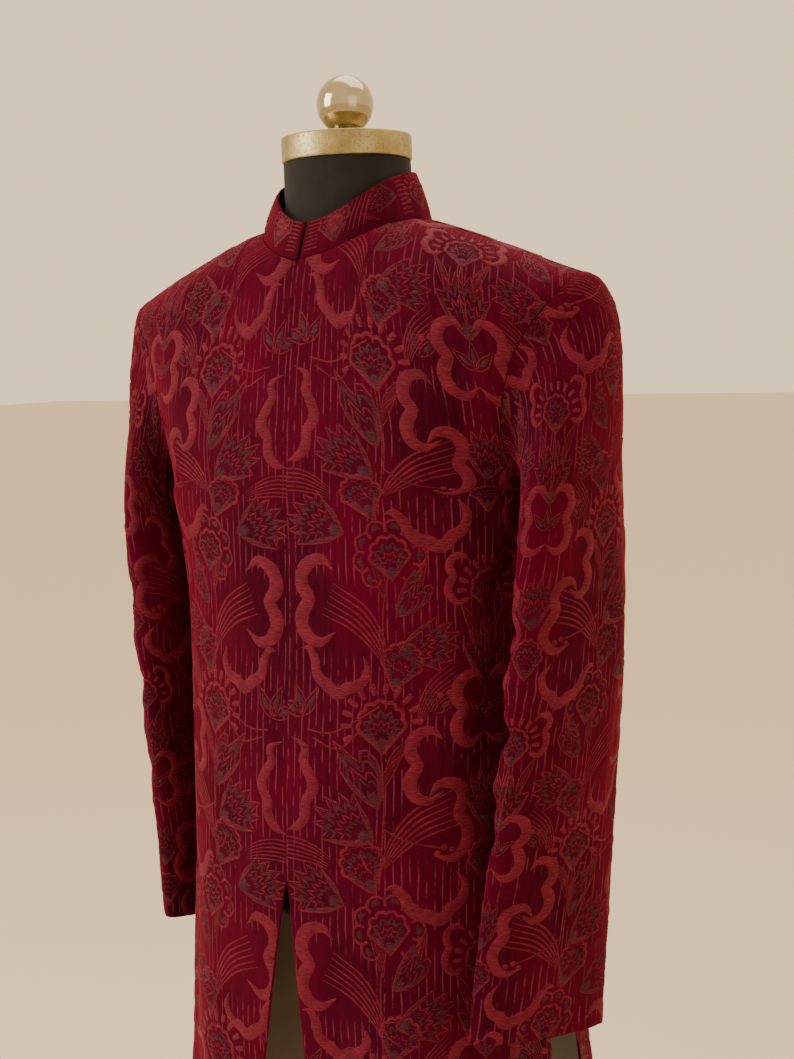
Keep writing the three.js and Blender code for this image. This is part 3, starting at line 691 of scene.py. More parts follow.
# ---------- Making meshes ----------
def new_object(name, vertices, faces, materials, indices=None, uv=None, sharp=None):
    """A smooth mesh that rides on the part: vertices in millimetres, its sharp angle in degrees."""
    mesh = bpy.data.meshes.new(name)
    mesh.from_pydata((np.asarray(vertices) * MM).tolist(), [], faces)
    for material in materials:
        mesh.materials.append(material)
    if indices is not None:
        mesh.polygons.foreach_set("material_index", np.asarray(indices, np.int32))
    if uv is not None:
        layer = mesh.uv_layers.new(name="UVMap")
        corner = np.zeros(len(mesh.loops), np.int32)
        mesh.loops.foreach_get("vertex_index", corner)
        layer.data.foreach_set("uv", (np.asarray(uv)[corner] * MM).astype(np.float32).ravel())
    mesh.polygons.foreach_set("use_smooth", np.ones(len(mesh.polygons), bool))
    mesh.validate()
    mesh.update()
    if sharp is not None:
        mesh.set_sharp_from_angle(angle=math.radians(sharp))
    thing = bpy.data.objects.new(name, mesh)
    bpy.context.scene.collection.objects.link(thing)
    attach(thing, "root")
    return thing


def quads(index):
    """The faces of a grid of vertex numbers."""
    around = [index[:-1, :-1], index[:-1, 1:], index[1:, 1:], index[1:, :-1]]
    return np.stack(around, -1).reshape(-1, 4)


def shell(name, sheet, materials, thickness=CLOTH, plain=None):
    """A sheet as a closed thin wall: its face, its back and a rim, with rolled edges."""
    rows, columns = sheet.across.shape
    edge = np.clip(1 - sheet.to_edges() / ROLL["width"], 0, 1) ** 2
    roll = min(ROLL["depth"], ROLL["share"] * thickness) * edge
    outer = sheet.points - sheet.normals * roll[..., None]
    inner = sheet.points - sheet.normals * thickness
    index = np.arange(rows * columns).reshape(rows, columns)
    back = index + rows * columns
    faces = [quads(index), quads(back)[:, ::-1]]
    border = np.concatenate([index[0], index[1:, -1], index[-1, -2::-1], index[-2:0:-1, 0]])
    ahead = np.roll(border, -1)
    far = rows * columns
    faces.append(np.stack([border, border + far, ahead + far, ahead], -1))
    kinds = np.concatenate([np.full(len(f), k) for f, k in zip(faces, (0, 1, 0))])
    faces = np.concatenate(faces)
    a, b, d = (outer.reshape(-1, 3)[faces[0][k]] for k in (0, 1, 3))
    if np.dot(np.cross(b - a, d - a), sheet.normals.reshape(-1, 3)[faces[0][0]]) < 0:
        faces = faces[:, ::-1]
    uv = np.stack([sheet.across, sheet.up], -1).reshape(-1, 2)
    vertices = np.concatenate([outer.reshape(-1, 3), inner.reshape(-1, 3)])
    uv = np.concatenate([uv, uv])
    thing = new_object(name, vertices, faces.tolist(), materials, kinds, uv)
    bare = np.zeros(len(vertices)) if plain is None else np.tile(plain.ravel(), 2)
    attribute = thing.data.attributes.new("bare_ground", "FLOAT", "POINT")
    attribute.data.foreach_set("value", bare.astype(np.float32))
    return thing


SHARP = 50  # degrees; a turned piece's edges are sharp past this
ROUND_STEPS = 96


def tube(rows, around):
    """Vertex numbers of a grid that closes on itself."""
    index = np.arange(rows * around).reshape(rows, around)
    return np.concatenate([index, index[:, :1]], axis=1)


def turned(name, profile, material):
    """A turned piece from a profile of (radius, height) pairs, from the axis back to the axis."""
    inner = profile[1:-1]
    angle = np.linspace(0, 2 * np.pi, ROUND_STEPS, endpoint=False)
    rings = [np.stack([r * np.sin(angle), -r * np.cos(angle), 0 * angle + z], -1) for r, z in inner]
    vertices = np.concatenate([*rings, [[0, 0, profile[0][1]], [0, 0, profile[-1][1]]]])
    index = tube(len(inner), ROUND_STEPS)
    low, high = len(vertices) - 2, len(vertices) - 1
    faces = quads(index).tolist()
    faces += [[low, int(b), int(a)] for a, b in zip(index[0], index[0, 1:])]
    faces += [[high, int(a), int(b)] for a, b in zip(index[-1], index[-1, 1:])]
    return new_object(name, vertices, faces, [material], sharp=SHARP)


# ---------- Embroidery, drawn flat ----------
ROSE, MAUVE, CRIMSON = 0, 1, 2  # threads
STITCH_STEP = 4.0
DOME = np.array([[-1, -0.3], [-0.62, 0.8], [0, 1], [0.62, 0.8], [1, -0.3]])  # across a wide band
CORD = np.array([[-1, -0.3], [0, 1], [1, -0.3]])  # across a line
NARROW = 2.5  # a band whose half width stays under this is worked as a line
PATCH_RINGS = np.array([[0.05, 1], [0.5, 0.9], [1.0, -0.2]])  # from a patch's centre: size, height
PATCH_STEP = 7
RELIEF = {"band": 0.85, "line": 0.6, "patch": 0.32, "ground": 0.22}


def curve(points, closed=False):
    """A smooth line through points, as a Catmull-Rom spline, and each step's place among them."""
    p = np.asarray(points, float)
    ends = [p[-1:], p[:2]] if closed else [[2 * p[0] - p[1]], [2 * p[-1] - p[-2]]]
    p = np.concatenate([ends[0], p, ends[1]])
    line, marks = [], []
    for i in range(len(p) - 3):
        count = max(2, int(np.linalg.norm(p[i + 2] - p[i + 1]) / STITCH_STEP + 0.5))
        t = np.arange(count)[:, None] / count
        a, b, c, d = p[i : i + 4]
        bend = t**2 * (a - 2.5 * b + 2 * c - d / 2) + t**3 * (1.5 * (b - c) + (d - a) / 2)
        line.append(b + t * (c - a) / 2 + bend)
        marks.append(i + t[:, 0])
    line.append(p[-2:-1])
    marks.append([len(p) - 3])
    return np.concatenate(line), np.concatenate(marks)


def stitched(line, along, offset, profile, height, thread):
    """A raised strip: a grid of points beside a line, their heights and the thread."""
    beside = np.stack([-along[:, 1], along[:, 0]], -1)
    grid = line[:, None] + beside[:, None] * offset[..., None]
    return grid, np.broadcast_to(profile[:, 1] * height, grid.shape[:2]), thread


def band(points, widths, thread=ROSE, height=RELIEF["band"], closed=False, lobed=0):
    """A band of satin stitch along a curve: half widths at its points, one edge lobed if asked."""
    line, marks = curve(points, closed)
    widths = np.broadcast_to(widths, (len(points),))
    widths = np.append(widths, widths[:1]) if closed else widths
    half = np.interp(marks, np.arange(len(widths)), widths)
    along = unit_vectors(np.gradient(line, axis=0))
    if closed:
        along[0] = along[-1] = unit_vectors(line[1] - line[-2])
    profile = CORD if half.max() < NARROW else DOME
    swell = 1 + lobed * np.abs(np.sin(np.pi * marks))
    offset = profile[:, 0] * np.where(profile[:, 0] > 0, swell[:, None], 1) * half[:, None]
    return stitched(line, along, offset, profile, height, thread)


def line(points, half=0.9, thread=ROSE, closed=False):
    """A narrow line of stitches along a curve."""
    return band(points, half, thread, RELIEF["line"], closed)


def divided(corners, step=5):
    """A closed outline's straight sides cut into short steps."""
    corners = np.asarray(corners, float)
    parts = []
    for a, b in zip(corners, np.roll(corners, -1, axis=0)):
        count = int(np.linalg.norm(b - a) / step) + 1
        parts.append(a + (b - a) * np.arange(count)[:, None] / count)
    return np.concatenate(parts)


def outlined(corners, half=1.0, thread=ROSE, height=RELIEF["line"]):
    """A line of stitches round a closed outline, with sharp corners."""
    path = divided(corners)
    along = unit_vectors(np.roll(path, -1, axis=0) - np.roll(path, 1, axis=0))
    path, along = (np.concatenate([p, p[:1]]) for p in (path, along))
    return stitched(path, along, (CORD[:, 0] * half)[None], CORD, height, thread)


def patch(outline, centre=(0, 0), thread=MAUVE, height=RELIEF["patch"]):
    """A filled shape, seen whole from its centre."""
    outline = divided(outline, PATCH_STEP)
    outline = np.concatenate([outline, outline[:1]])
    rings, heights = PATCH_RINGS.T
    grid = np.asarray(centre) + rings[:, None, None] * (outline[None] - centre)
    return grid, np.broadcast_to((heights * height)[:, None], grid.shape[:2]), thread


def scaled(points, size, centre=(0, 0)):
    """Points brought nearer to a centre, or taken farther from it."""
    return np.asarray(centre) + size * (np.asarray(points, float) - centre)


def head(length, radius, lobes, depth, sharp=False, drawn=0.0):
    """A flower's outline: it springs from (0, 0) and has lobes, or teeth, round its head."""
    turn = np.linspace(-1, 1, (2 if sharp else 6) * lobes + 1)
    lobe = np.abs(np.sin(np.pi * lobes * (turn + 1) / 2))
    angle = np.radians(112) * turn
    r = radius * (1 - depth * (1 - lobe)) * (1 + drawn * np.cos(angle) ** 4)
    crown = np.stack([r * np.sin(angle), length - radius + r * np.cos(angle)], -1)
    return np.concatenate([crown, [[0, 0]]])


TULIP = [
    (0, 0), (9, 8), (17, 17), (22, 28), (30, 40), (21, 38), (22, 53), (13, 46), (10, 63),
    (2, 50), (-5, 68), (-9, 50), (-18, 61), (-17, 44), (-27, 46), (-21, 29), (-15, 17), (-7, 7),
]
BRACT = [
    (0, 0), (9, 10), (14, 24), (15, 38), (11, 49), (5, 51), (1, 42), (-4, 50),
    (-14, 68), (-14, 50), (-18, 42), (-14, 24), (-7, 9),
]
LEAF = [(0, 0), (8, 11), (10, 26), (5, 40), (0, 54), (-4, 40), (-8, 26), (-7, 11)]
# The rings inside a flower: size, half width, thread and height; they close in on its root.
RINGS = ((0.8, 1.9, MAUVE, 0.4), (0.6, 1.1, ROSE, 0.5), (0.44, 1.3, MAUVE, 0.45))
ROOT = (0, 3)
CORE = {"size": 0.26, "height": 0.45}


def worked(rim, inner, width):
    """A flower worked in rings round a mauve core."""
    marks = [outlined(rim, width)]
    for size, half, thread, height in RINGS:
        marks.append(outlined(scaled(inner, size, ROOT), half, thread, height))
    core = scaled(inner, CORE["size"], ROOT)
    return marks + [patch(core, core.mean(0), MAUVE, CORE["height"])]


def moved(marks, x, y):
    """Stitches with their middle brought to the origin of their motif."""
    return [(grid + [x, y], heights, thread) for grid, heights, thread in marks]


def ways(low, high, count):
    """Unit vectors spread between two angles in degrees, each with the one beside it."""
    for angle in np.radians(np.linspace(low, high, count)):
        c, s = math.cos(angle), math.sin(angle)
        yield np.array([c, s]), np.array([-s, c])


def sun():
    """A small round flower in a ring of short bars."""
    marks = worked(head(39, 18, 7, 0.12), head(38, 17.5, 7, 0.32, sharp=True), 1.9)
    centre = np.array([0, 21])
    for way, _ in ways(-20, 200, 12):
        bar = [centre + way * far for far in (22, 26.5, 31)]
        marks.append(band(bar, [1.7, 2.5, 2.2], height=0.6))
    return moved(marks, 0, -20)


PETAL = [(7, 19), (8, 26), (0, 31), (-8, 26), (-7, 19)]
SPOT = [(-4.5, -1), (-3, 3), (0, 4.6), (3, 3), (4.5, -1)]


def carnation():
    """A round flower in a ring of mauve petals."""
    marks = worked(head(37, 17, 6, 0.14), head(37, 17, 6, 0.3, sharp=True), 1.7)
    centre = np.array([0, 20])
    for way, beside in ways(-44, 224, 8):
        petal = [beside * x + way * y for x, y in PETAL]
        marks.append(band(centre + petal, 1.4, height=RELIEF["line"]))
        middle = centre + way * 24
        marks.append(patch(middle + [beside * x + way * y for x, y in SPOT], middle, MAUVE, 0.35))
    return moved(marks, 0, -20)


def heart():
    """A large heart-shaped flower."""
    rim = head(50, 21, 8, 0.13)
    return worked(rim, head(49, 20.5, 8, 0.3, sharp=True), 2) + [outlined(scaled(rim, 0.9, (0, 4)), 0.6)]


def bloom():
    """A heart flower on a filled ground, for the collar."""
    rim = scaled(head(50, 21, 8, 0.13), 0.94, (0, 4))
    return [patch(rim, (0, 28), ROSE, 0.24), *heart()]


def ragged(outline):
    """A flower with a ragged outline, drawn twice."""
    return worked(outline, outline, 1.2) + [outlined(scaled(outline, 0.9, ROOT), 0.5)]


def blade():
    """A long narrow leaf, bent to one side."""
    marks = [band([(0, 0), (5, 16), (12, 30), (22, 44)], [1, 3.4, 3.2, 0.6], CRIMSON, RELIEF["ground"])]
    marks.append(line([(0, 0), (1, 17), (9, 32), (22, 44)], 0.8))
    return marks + [line([(0, 0), (9, 14), (16, 29), (22, 44)], 0.8)]


def small_leaves(turns, size):
    """Leaves that fan out from one root."""
    marks = []
    for turn in turns:
        outline = turned_by(scaled(LEAF, size), turn)
        inner = scaled(outline, 0.6, outline.mean(0))
        marks += [outlined(outline, 0.9), patch(inner, inner.mean(0), MAUVE, 0.4)]
    return marks


def turned_by(points, degrees):
    """Points turned about the origin, anticlockwise."""
    c, s = math.cos(math.radians(degrees)), math.sin(math.radians(degrees))
    return np.asarray(points) @ np.array([[c, s], [-s, c]])


def bud():
    """Three berries on a short stem."""
    marks = [line([(0, -10), (1, -4), (0, 2)], 0.7)]
    for x, y in ((-7, 5), (0, 9), (7, 5)):
        berry = [(x, y) + 3.6 * way for way, _ in ways(0, 300, 6)]
        marks.append(patch(berry, (x, y), ROSE, 0.5))
    return marks


def fan():
    """A sheaf of arched lines that springs from a stem."""
    spine = np.array([(0, 0), (11, 17), (28, 32), (54, 42)])
    beside = np.array([(-0.83, 0.55), (-0.74, 0.67), (-0.5, 0.87), (-0.25, 0.97)])
    apart = np.array([0.8, 2.9, 4.4, 5.4])[:, None]
    return [band(spine + beside * apart * (k - 2.5), [0.5, 1, 1.2, 0.5], ROSE, 0.5) for k in range(6)]


def garland():
    """Arched lines that meet their mirror image across the centre front."""
    marks = []
    for k in range(6):
        y = 4.4 * (k - 2.5)
        path = [(0, 8 + y), (18, 8 + y), (36, 4 + 0.85 * y), (54, -4 + 0.6 * y)]
        marks.append(band(path, [1, 1.1, 1, 0.4], ROSE, 0.5))
    return marks


def bars():
    """Short level bars, one above another, for the collar."""
    return [band([(-6, y), (0, y + 0.6), (6, y)], [0.7, 1.2, 0.7], ROSE, 0.5) for y in range(-16, 17, 4)]


def rays():
    """Arched lines that cross the collar side by side."""
    marks = []
    for x in (-10, -5, 0, 5, 10):
        marks.append(band([(x - 4, -15), (x, -1), (x + 7, 14)], [0.6, 1.3, 0.6], ROSE, 0.5))
    return marks


HALF_FRAME = [(1, 0), (12, 4), (20, 14), (21, 28), (28, 41), (23, 55), (17, 65), (19, 77), (5, 85)]
HOOK = [(36, 62), (25, 72), (9, 67), (3, 51), (10, 37), (2, 22), (5, 7), (19, -1), (36, 8)]
WAVE = [(-40, 33), (-31, 34), (-23, 22), (-19, 8), (-6, -1), (6, -8), (17, -1), (28, 3), (36, 17), (30, 33)]
CLAW = [(-14, 30), (-3, 41), (13, 38), (20, 24), (14, 8), (22, -8), (19, -25), (4, -36), (-15, -29)]
MOTIFS = {
    "half_frame": [band(HALF_FRAME, [0.6, 4.8, 6.2, 5.6, 6.8, 5.8, 5, 4.6, 0.5], lobed=-0.15)],
    "hook": [band(HOOK, [0.6, 5.4, 7.8, 8.4, 7.4, 8.6, 8, 5.6, 0.6], lobed=-0.15)],
    "wave": [band(WAVE, [0.5, 4.4, 6.2, 6.8, 7.6, 8, 7.4, 6.4, 5.2, 0.5], lobed=-0.12)],
    "claw": [band(CLAW, [0.6, 5, 7, 7.4, 7.2, 7.6, 7, 5, 0.6], lobed=0.15)],
    "sun": sun(),
    "carnation": carnation(),
    "heart": heart(),
    "bloom": bloom(),
    "tulip": ragged(TULIP),
    "bract": ragged(BRACT),
    "blade": blade(),
    "pair": small_leaves((-32, 34), 0.66),
    "sprig": small_leaves((-48, 0, 48), 0.6),
    "bud": bud(),
    "fan": fan(),
    "garland": garland(),
    "bars": bars(),
    "rays": rays(),
}
# Round places inside a motif where the ground has no running stitches: x, y and radius.
BARE = {
    "hook": (24, 36, 26), "claw": (8, 4, 28), "fan": (40, 28, 34), "garland": (24, 4, 18),
    "tulip": (0, 30, 27), "bract": (0, 28, 20), "heart": (0, 28, 24), "carnation": (0, 0, 27),
    "sun": (0, 0, 20),
}

# One repeat of the embroidery: each motif's origin across from the piece's centre line and up
# from the top of the oval frame, its size, its turn (degrees) and its handedness.
REPEAT = {"wide": 190, "tall": 335}
LAYOUT_NAMES = (
    "half_frame sun bract tulip heart garland fan carnation tulip hook fan bract tulip heart wave "
    "sprig bud hook claw wave hook bud tulip heart claw blade blade sun tulip fan blade pair "
    "blade sprig"
).split()
LAYOUT = table("across up size turn hand", [
    [1, -88, 1, 0, 1],
    [94, 12, 1.2, 4, 1],
    [92, -62, 1.06, 24, 1],
    [88, -92, 0.94, 60, 1],
    [88, -139, 1, 22, 1],
    [0, -112, 0.88, 0, 1],
    [97, -114, 1.2, 0, 1],
    [101, -172, 1.08, 6, 1],
    [60, -152, 0.92, 72, 1],
    [14, -250, 1.02, 2, 1],
    [96, -266, 1.12, 8, -1],
    [106, -226, 0.8, -42, 1],
    [108, -258, 0.84, -78, 1],
    [104, -292, 0.88, -16, 1],
    [48, -288, 0.88, -4, 1],
    [18, -318, 1, 18, 1],
    [152, -108, 1, 10, 1],
    [119, -56, 0.86, 2, 1],
    [152, -78, 0.9, 5, 1],
    [141, -158, 0.94, 12, 1],
    [160, -8, 0.86, 4, 1],
    [150, -304, 1, -20, 1],
    [190, -86, 0.8, 0, 1],
    [190, -136, 0.8, 0, 1],
    [164, -196, 0.55, 0, -1],
    [92, -50, 0.86, -4, 1],
    [97, -214, 0.86, 8, -1],
    [190, -206, 1, 0, 1],
    [190, -296, 0.94, 0, 1],
    [128, -322, 0.8, 16, 1],
    [178, -258, 0.9, 6, -1],
    [140, 22, 0.8, -20, 1],
    [98, -30, 0.9, -14, 1],
    [190, 14, 0.8, 0, 1],
])
STEMS = table("x1 y1 x2 y2 x3 y3", [
    [94, -8, 97, -62, 93, -136],
    [99, -192, 94, -230, 98, -308],
    [93, -124, 82, -116, 76, -102],
    [28, -2, 54, -10, 74, 6],
    [92, -306, 50, -330, 22, -330],
    [95, -258, 102, -270, 112, -276],
    [96, -80, 118, -92, 150, -100],
    [190, -222, 192, -252, 190, -292],
])


class Stitches:
    """Stitched shapes gathered in flat cloth coordinates before they are laid on a piece."""

    def __init__(self):
        self.points, self.heights, self.faces, self.threads = [], [], [], []
        self.count = 0

    def add(self, grid, heights, thread):
        """Takes in one shape, made by band, outlined or patch."""
        rows, columns = heights.shape
        index = self.count + np.arange(rows * columns).reshape(rows, columns)
        self.count += rows * columns
        self.points.append(grid.reshape(-1, 2))
        self.heights.append(np.asarray(heights).ravel())
        self.faces.append(quads(index))
        self.threads.append(np.full((rows - 1) * (columns - 1), thread))

    def motif(self, name, across, up, size, turn, hand):
        """Takes in a motif of this size, turned by some degrees, and mirrored where hand is -1."""
        for grid, heights, thread in MOTIFS[name]:
            laid = turned_by(grid * size, turn) * [hand, 1] + [across, up]
            self.add(laid, heights, thread)

    def lay(self, name, sheet, materials):
        """The stitches as one object on a sheet, cut off at its edges."""
        flat = np.concatenate(self.points)
        points, normals, outside = on_sheet(sheet, flat)
        faces = np.concatenate(self.faces)
        threads = np.concatenate(self.threads)
        kept = ~outside[faces].all(axis=1)
        faces, threads = faces[kept], threads[kept]
        used, faces = np.unique(faces, return_inverse=True)
        faces = faces.reshape(-1, 4)
        heights = np.concatenate(self.heights)[used]
        vertices = points[used] + normals[used] * heights[:, None]
        a, b, d = (vertices[faces[:, k]] for k in (0, 1, 3))
        facing = np.sum(np.cross(b - a, d - a) * normals[used][faces[:, 0]], -1) < 0
        faces[facing] = faces[facing][:, ::-1]
        return new_object(name, vertices, faces.tolist(), materials, threads, flat[used])


EDGE_TRIM = 2  # stitches stop at this row or column of a sheet, in from its edge
PASSES = 3  # rounds in which a row and a column are found, each from the other
AT_ONCE = 20000  # points handled at a time, to save memory


def between_rows(grid, at):
    """A grid's rows at fractional row numbers."""
    low = np.clip(np.floor(at), 0, len(grid) - 2).astype(int)
    t = (at - low)[:, None]
    return grid[low] * (1 - t) + grid[low + 1] * t


def index_in(lines, value):
    """Fractional position of each value in its own rising line, carried on past the ends."""
    low = np.clip((lines < value[:, None]).sum(1) - 1, 0, lines.shape[1] - 2)
    n = np.arange(len(value))
    step = lines[n, low + 1] - lines[n, low]
    return low + (value - lines[n, low]) / np.maximum(step, 1e-6)


def on_sheet(sheet, flat):
    """Points and normals of a sheet at flat cloth coordinates, and which lie outside it."""
    side = 1 if sheet.across[0, -1] > sheet.across[0, 0] else -1
    across, up = sheet.across * side, sheet.up
    last_row, last_column = across.shape[0] - 1, across.shape[1] - 1
    places = []
    for start in range(0, len(flat), AT_ONCE):
        a, b = flat[start : start + AT_ONCE].T * [[side], [1]]
        i = np.full(len(a), last_column / 2)
        for _ in range(PASSES):
            j = index_in(between_rows(up.T, np.clip(i, 0, last_column)), b)
            i = index_in(between_rows(across, np.clip(j, 0, last_row)), a)
        places.append(np.stack([j, i], -1))
    places = np.concatenate(places)
    high = np.array([last_row, last_column]) - EDGE_TRIM
    inside = np.clip(places, EDGE_TRIM, high)
    outside = (np.abs(places - inside) > 1e-9).any(axis=1)
    low = np.minimum(np.floor(inside).astype(int), high - 1)
    (s, t), (j, i) = (inside - low).T[..., None], low.T

    def at(grid):
        lower = grid[j, i] * (1 - t) + grid[j, i + 1] * t
        upper = grid[j + 1, i] * (1 - t) + grid[j + 1, i + 1] * t
        return lower * (1 - s) + upper * s

    return at(sheet.points), unit_vectors(at(sheet.normals)), outside


MOTIF_REACH = 60  # motifs are laid whose origin is no farther than this from a piece
COLUMNS, LEVELS = range(-3, 4), range(-5, 3)  # repeats enough for the widest and tallest piece


def placements(sheet, origin, phase, scale):
    """Every motif of the repeat that falls on a sheet, mirrored from one repeat to the next."""
    low, high = sheet.across.min() - MOTIF_REACH, sheet.across.max() + MOTIF_REACH
    bottom, top = sheet.up.min() - MOTIF_REACH, sheet.up.max() + MOTIF_REACH
    wide, tall = REPEAT["wide"] * scale, REPEAT["tall"] * scale
    for column, level in itertools.product(COLUMNS, LEVELS):
        mirrored = column % 2 != 0
        hand = -1 if mirrored else 1
        base, foot = origin + (column + mirrored) * wide, phase + level * tall
        at = lambda x, y: (base + hand * x * scale, foot + y * scale)
        for name, row in zip(LAYOUT_NAMES, rows_of(LAYOUT)):
            if mirrored and row["across"] == REPEAT["wide"]:
                continue  # it lies on the line that two repeats share
            across, up = at(row["across"], row["up"])
            if low < across < high and bottom < up < top:
                yield name, across, up, row["size"] * scale, row["turn"], hand * row["hand"]
        for row in rows_of(STEMS):
            ends = [at(row[f"x{k}"], row[f"y{k}"]) for k in (1, 2, 3)]
            if low < ends[0][0] < high and bottom < ends[0][1] < top:
                yield "stem", ends, None, None, None, None


def embroider(name, sheet, materials, origin, phase, scale):
    """Lays the repeating embroidery on a piece, and says where its ground is bare."""
    stitches = Stitches()
    bare = np.zeros(sheet.across.shape)
    for motif, across, up, size, turn, hand in placements(sheet, origin, phase, scale):
        if motif == "stem":
            stitches.add(*line(across, 1.0))
            continue
        stitches.motif(motif, across, up, size, turn, hand)
        if motif in BARE:
            x, y, radius = BARE[motif]
            (x, y) = turned_by(np.array([x, y]) * size, turn) * [hand, 1]
            away = np.hypot(sheet.across - across - x, sheet.up - up - y) / (radius * size)
            bare = np.maximum(bare, 1 - smooth(away, 0.8, 1.1))
    stitches.lay(name, sheet, materials)
    return bare


# ---------- Materials ----------
def linear(r, g, b):
    """An sRGB colour (0 to 255) as linear light."""
    level = lambda c: c / 12.92 if c < 0.0404 else ((c + 0.055) / 1.055) ** 2.4
    return (*(level(c / 255) for c in (r, g, b)), 1)


class Finish:
    """A material and short calls that wire its nodes."""

    def __init__(self, name, color, roughness, **sockets):
        self.material = bpy.data.materials.new(name)
        self.material.use_nodes = True
        self.tree = self.material.node_tree
        self.shader = self.tree.nodes["Principled BSDF"]
        self.shader.inputs["Base Color"].default_value = color
        self.shader.inputs["Roughness"].default_value = roughness
        for socket, value in sockets.items():
            self.shader.inputs[socket.replace("_", " ")].default_value = value

    def node(self, kind, inputs=None, **settings):
        node = self.tree.nodes.new(kind)
        for name, value in settings.items():
            setattr(node, name, value)
        for name, value in (inputs or {}).items():
            if isinstance(value, bpy.types.NodeSocket):
                self.tree.links.new(value, node.inputs[name])
            else:
                node.inputs[name].default_value = value
        return node

    def math(self, operation, a, b=0.0, c=0.0):
        return self.node("ShaderNodeMath", {0: a, 1: b, 2: c}, operation=operation).outputs[0]

    def plus(self, a, b):
        return self.math("ADD", a, b)

    def times(self, a, b):
        return self.math("MULTIPLY", a, b)

    def where(self):
        """Flat cloth coordinates in metres."""
        return self.node("ShaderNodeTexCoord").outputs["UV"]

    def solid(self):
        """Coordinates of the piece itself, in metres."""
        return self.node("ShaderNodeTexCoord").outputs["Object"]

    def noise(self, vector, scale, detail=3.0, stretch=(1, 1, 1), rough=0.55):
        mapped = self.node("ShaderNodeMapping", {"Vector": vector, "Scale": stretch}).outputs[0]
        inputs = {"Vector": mapped, "Scale": scale, "Detail": detail, "Roughness": rough}
        return self.node("ShaderNodeTexNoise", inputs).outputs["Fac"]

    def ramp(self, factor, low, high, start=0.0, end=1.0):
        inputs = {"Value": factor, "From Min": low, "From Max": high, "To Min": start, "To Max": end}
        return self.node("ShaderNodeMapRange", inputs).outputs[0]

    def mix(self, factor, a, b):
        node = self.node("ShaderNodeMix", {"Factor": factor, 6: a, 7: b}, data_type="RGBA")
        return node.outputs[2]

    def set(self, socket, value):
        self.tree.links.new(value, self.shader.inputs[socket])

    def tint(self, factor, a, b):
        """Colours the surface from a to b."""
        self.set("Base Color", self.mix(factor, a, b))

    def relief(self, *layers):
        """Bumps, each given by its height, distance and strength, one on top of another."""
        normal = None
        for height, distance, strength in layers:
            inputs = {"Height": height, "Distance": distance, "Strength": strength}
            if normal is not None:
                inputs["Normal"] = normal
            normal = self.node("ShaderNodeBump", inputs).outputs[0]
        self.set("Normal", normal)


# The velvet's shaded tone and its lit tone; the lit tone is painted sheen.
VELVET_DARK = linear(48, 0, 17)
VELVET_PAINTED_SHEEN = linear(84, 0, 30)
RUNNING = linear(106, 43, 62)
SHEEN_TINT = linear(255, 38, 84)
RUNNING_PITCH = 0.0074  # metres between two lines of running stitch


def velvet():
    """Crimson pile with broken lines of pale running stitch; soft patches of brushed nap are painted
    lighter towards a lit tone, as painted sheen.
    """
    f = Finish("velvet", VELVET_DARK, 0.85, Sheen_Weight=0.22, Sheen_Roughness=0.42,
               Sheen_Tint=SHEEN_TINT, Specular_IOR_Level=0.05)
    uv = f.where()
    # Patches and streaks of brushed nap, with fine grain, lift the colour towards the lit tone: painted
    # sheen laid at random.
    brushed = f.noise(uv, 9, 4, (1, 0.55, 1))
    streaks = f.noise(uv, 240, 2, (1, 0.12, 1))
    shade = f.plus(f.ramp(brushed, 0.35, 0.7), f.ramp(streaks, 0.3, 0.75, -0.2, 0.3))
    shade = f.plus(shade, f.ramp(f.noise(uv, 560, 3), 0.3, 0.7, -0.22, 0.22))
    ground = f.mix(f.times(shade, 0.75), VELVET_DARK, VELVET_PAINTED_SHEEN)
    u, v, _ = f.node("ShaderNodeSeparateXYZ", {0: uv}).outputs
    wobble = f.times(f.noise(uv, 26, 2), 0.5)
    column = f.math("MULTIPLY_ADD", u, 1 / RUNNING_PITCH, wobble)
    number = f.math("FLOOR", column)
    across = f.math("SUBTRACT", f.math("SUBTRACT", column, number), 0.5)
    slim = f.ramp(f.math("ABSOLUTE", across), 0.05, 0.12, 1, 0)
    along = f.node("ShaderNodeCombineXYZ", {0: f.times(number, 3.17), 1: f.times(v, 46)})
    broken = f.ramp(f.noise(along.outputs[0], 1.0, 3), 0.43, 0.54)
    fibres = f.ramp(f.noise(uv, 900, 2, (0.6, 1, 1)), 0.3, 0.7, 0.45, 1)
    bare = f.node("ShaderNodeAttribute", attribute_name="bare_ground").outputs["Fac"]
    shown = f.times(f.times(slim, broken), f.math("SUBTRACT", 1.0, bare))
    f.tint(f.times(shown, f.times(fibres, 0.95)), ground, RUNNING)
    f.relief((f.noise(uv, 1500, 3), 0.0005, 0.5), (shown, 0.0004, 0.6))
    return f.material


def velvet_back():
    """The wrong side of the cloth: dull dark weave."""
    f = Finish("velvet_back", linear(60, 8, 14), 0.9, Specular_IOR_Level=0.08)
    weave = f.noise(f.where(), 700, 2)
    f.tint(weave, linear(42, 5, 9), linear(70, 12, 18))
    f.relief((weave, 0.0003, 0.6))
    return f.material


def thread(name, low, high, sheen):
    """Satin stitch: fine threads that lie across the cloth."""
    f = Finish(name, high, 0.6, Sheen_Weight=sheen, Sheen_Roughness=0.45,
               Sheen_Tint=linear(255, 90, 106), Specular_IOR_Level=0.08)
    uv = f.where()
    threads = f.noise(uv, 1500, 2, (0.08, 1, 1))
    patchy = f.ramp(f.noise(uv, 60, 3), 0.3, 0.7, -0.15, 0.25)
    f.tint(f.plus(f.ramp(threads, 0.34, 0.66, -0.05, 0.85), patchy), low, high)
    f.relief((threads, 0.0006, 0.8))
    return f.material


def satin():
    """Olive-brown lining satin with a faint sheen."""
    f = Finish("lining_satin", linear(74, 54, 32), 0.42, Specular_IOR_Level=0.45)
    uv = f.where()
    f.tint(f.noise(uv, 14, 3), linear(62, 44, 26), linear(92, 70, 44))
    f.relief((f.noise(uv, 1000, 2, (1, 0.2, 1)), 0.0002, 0.5))
    return f.material


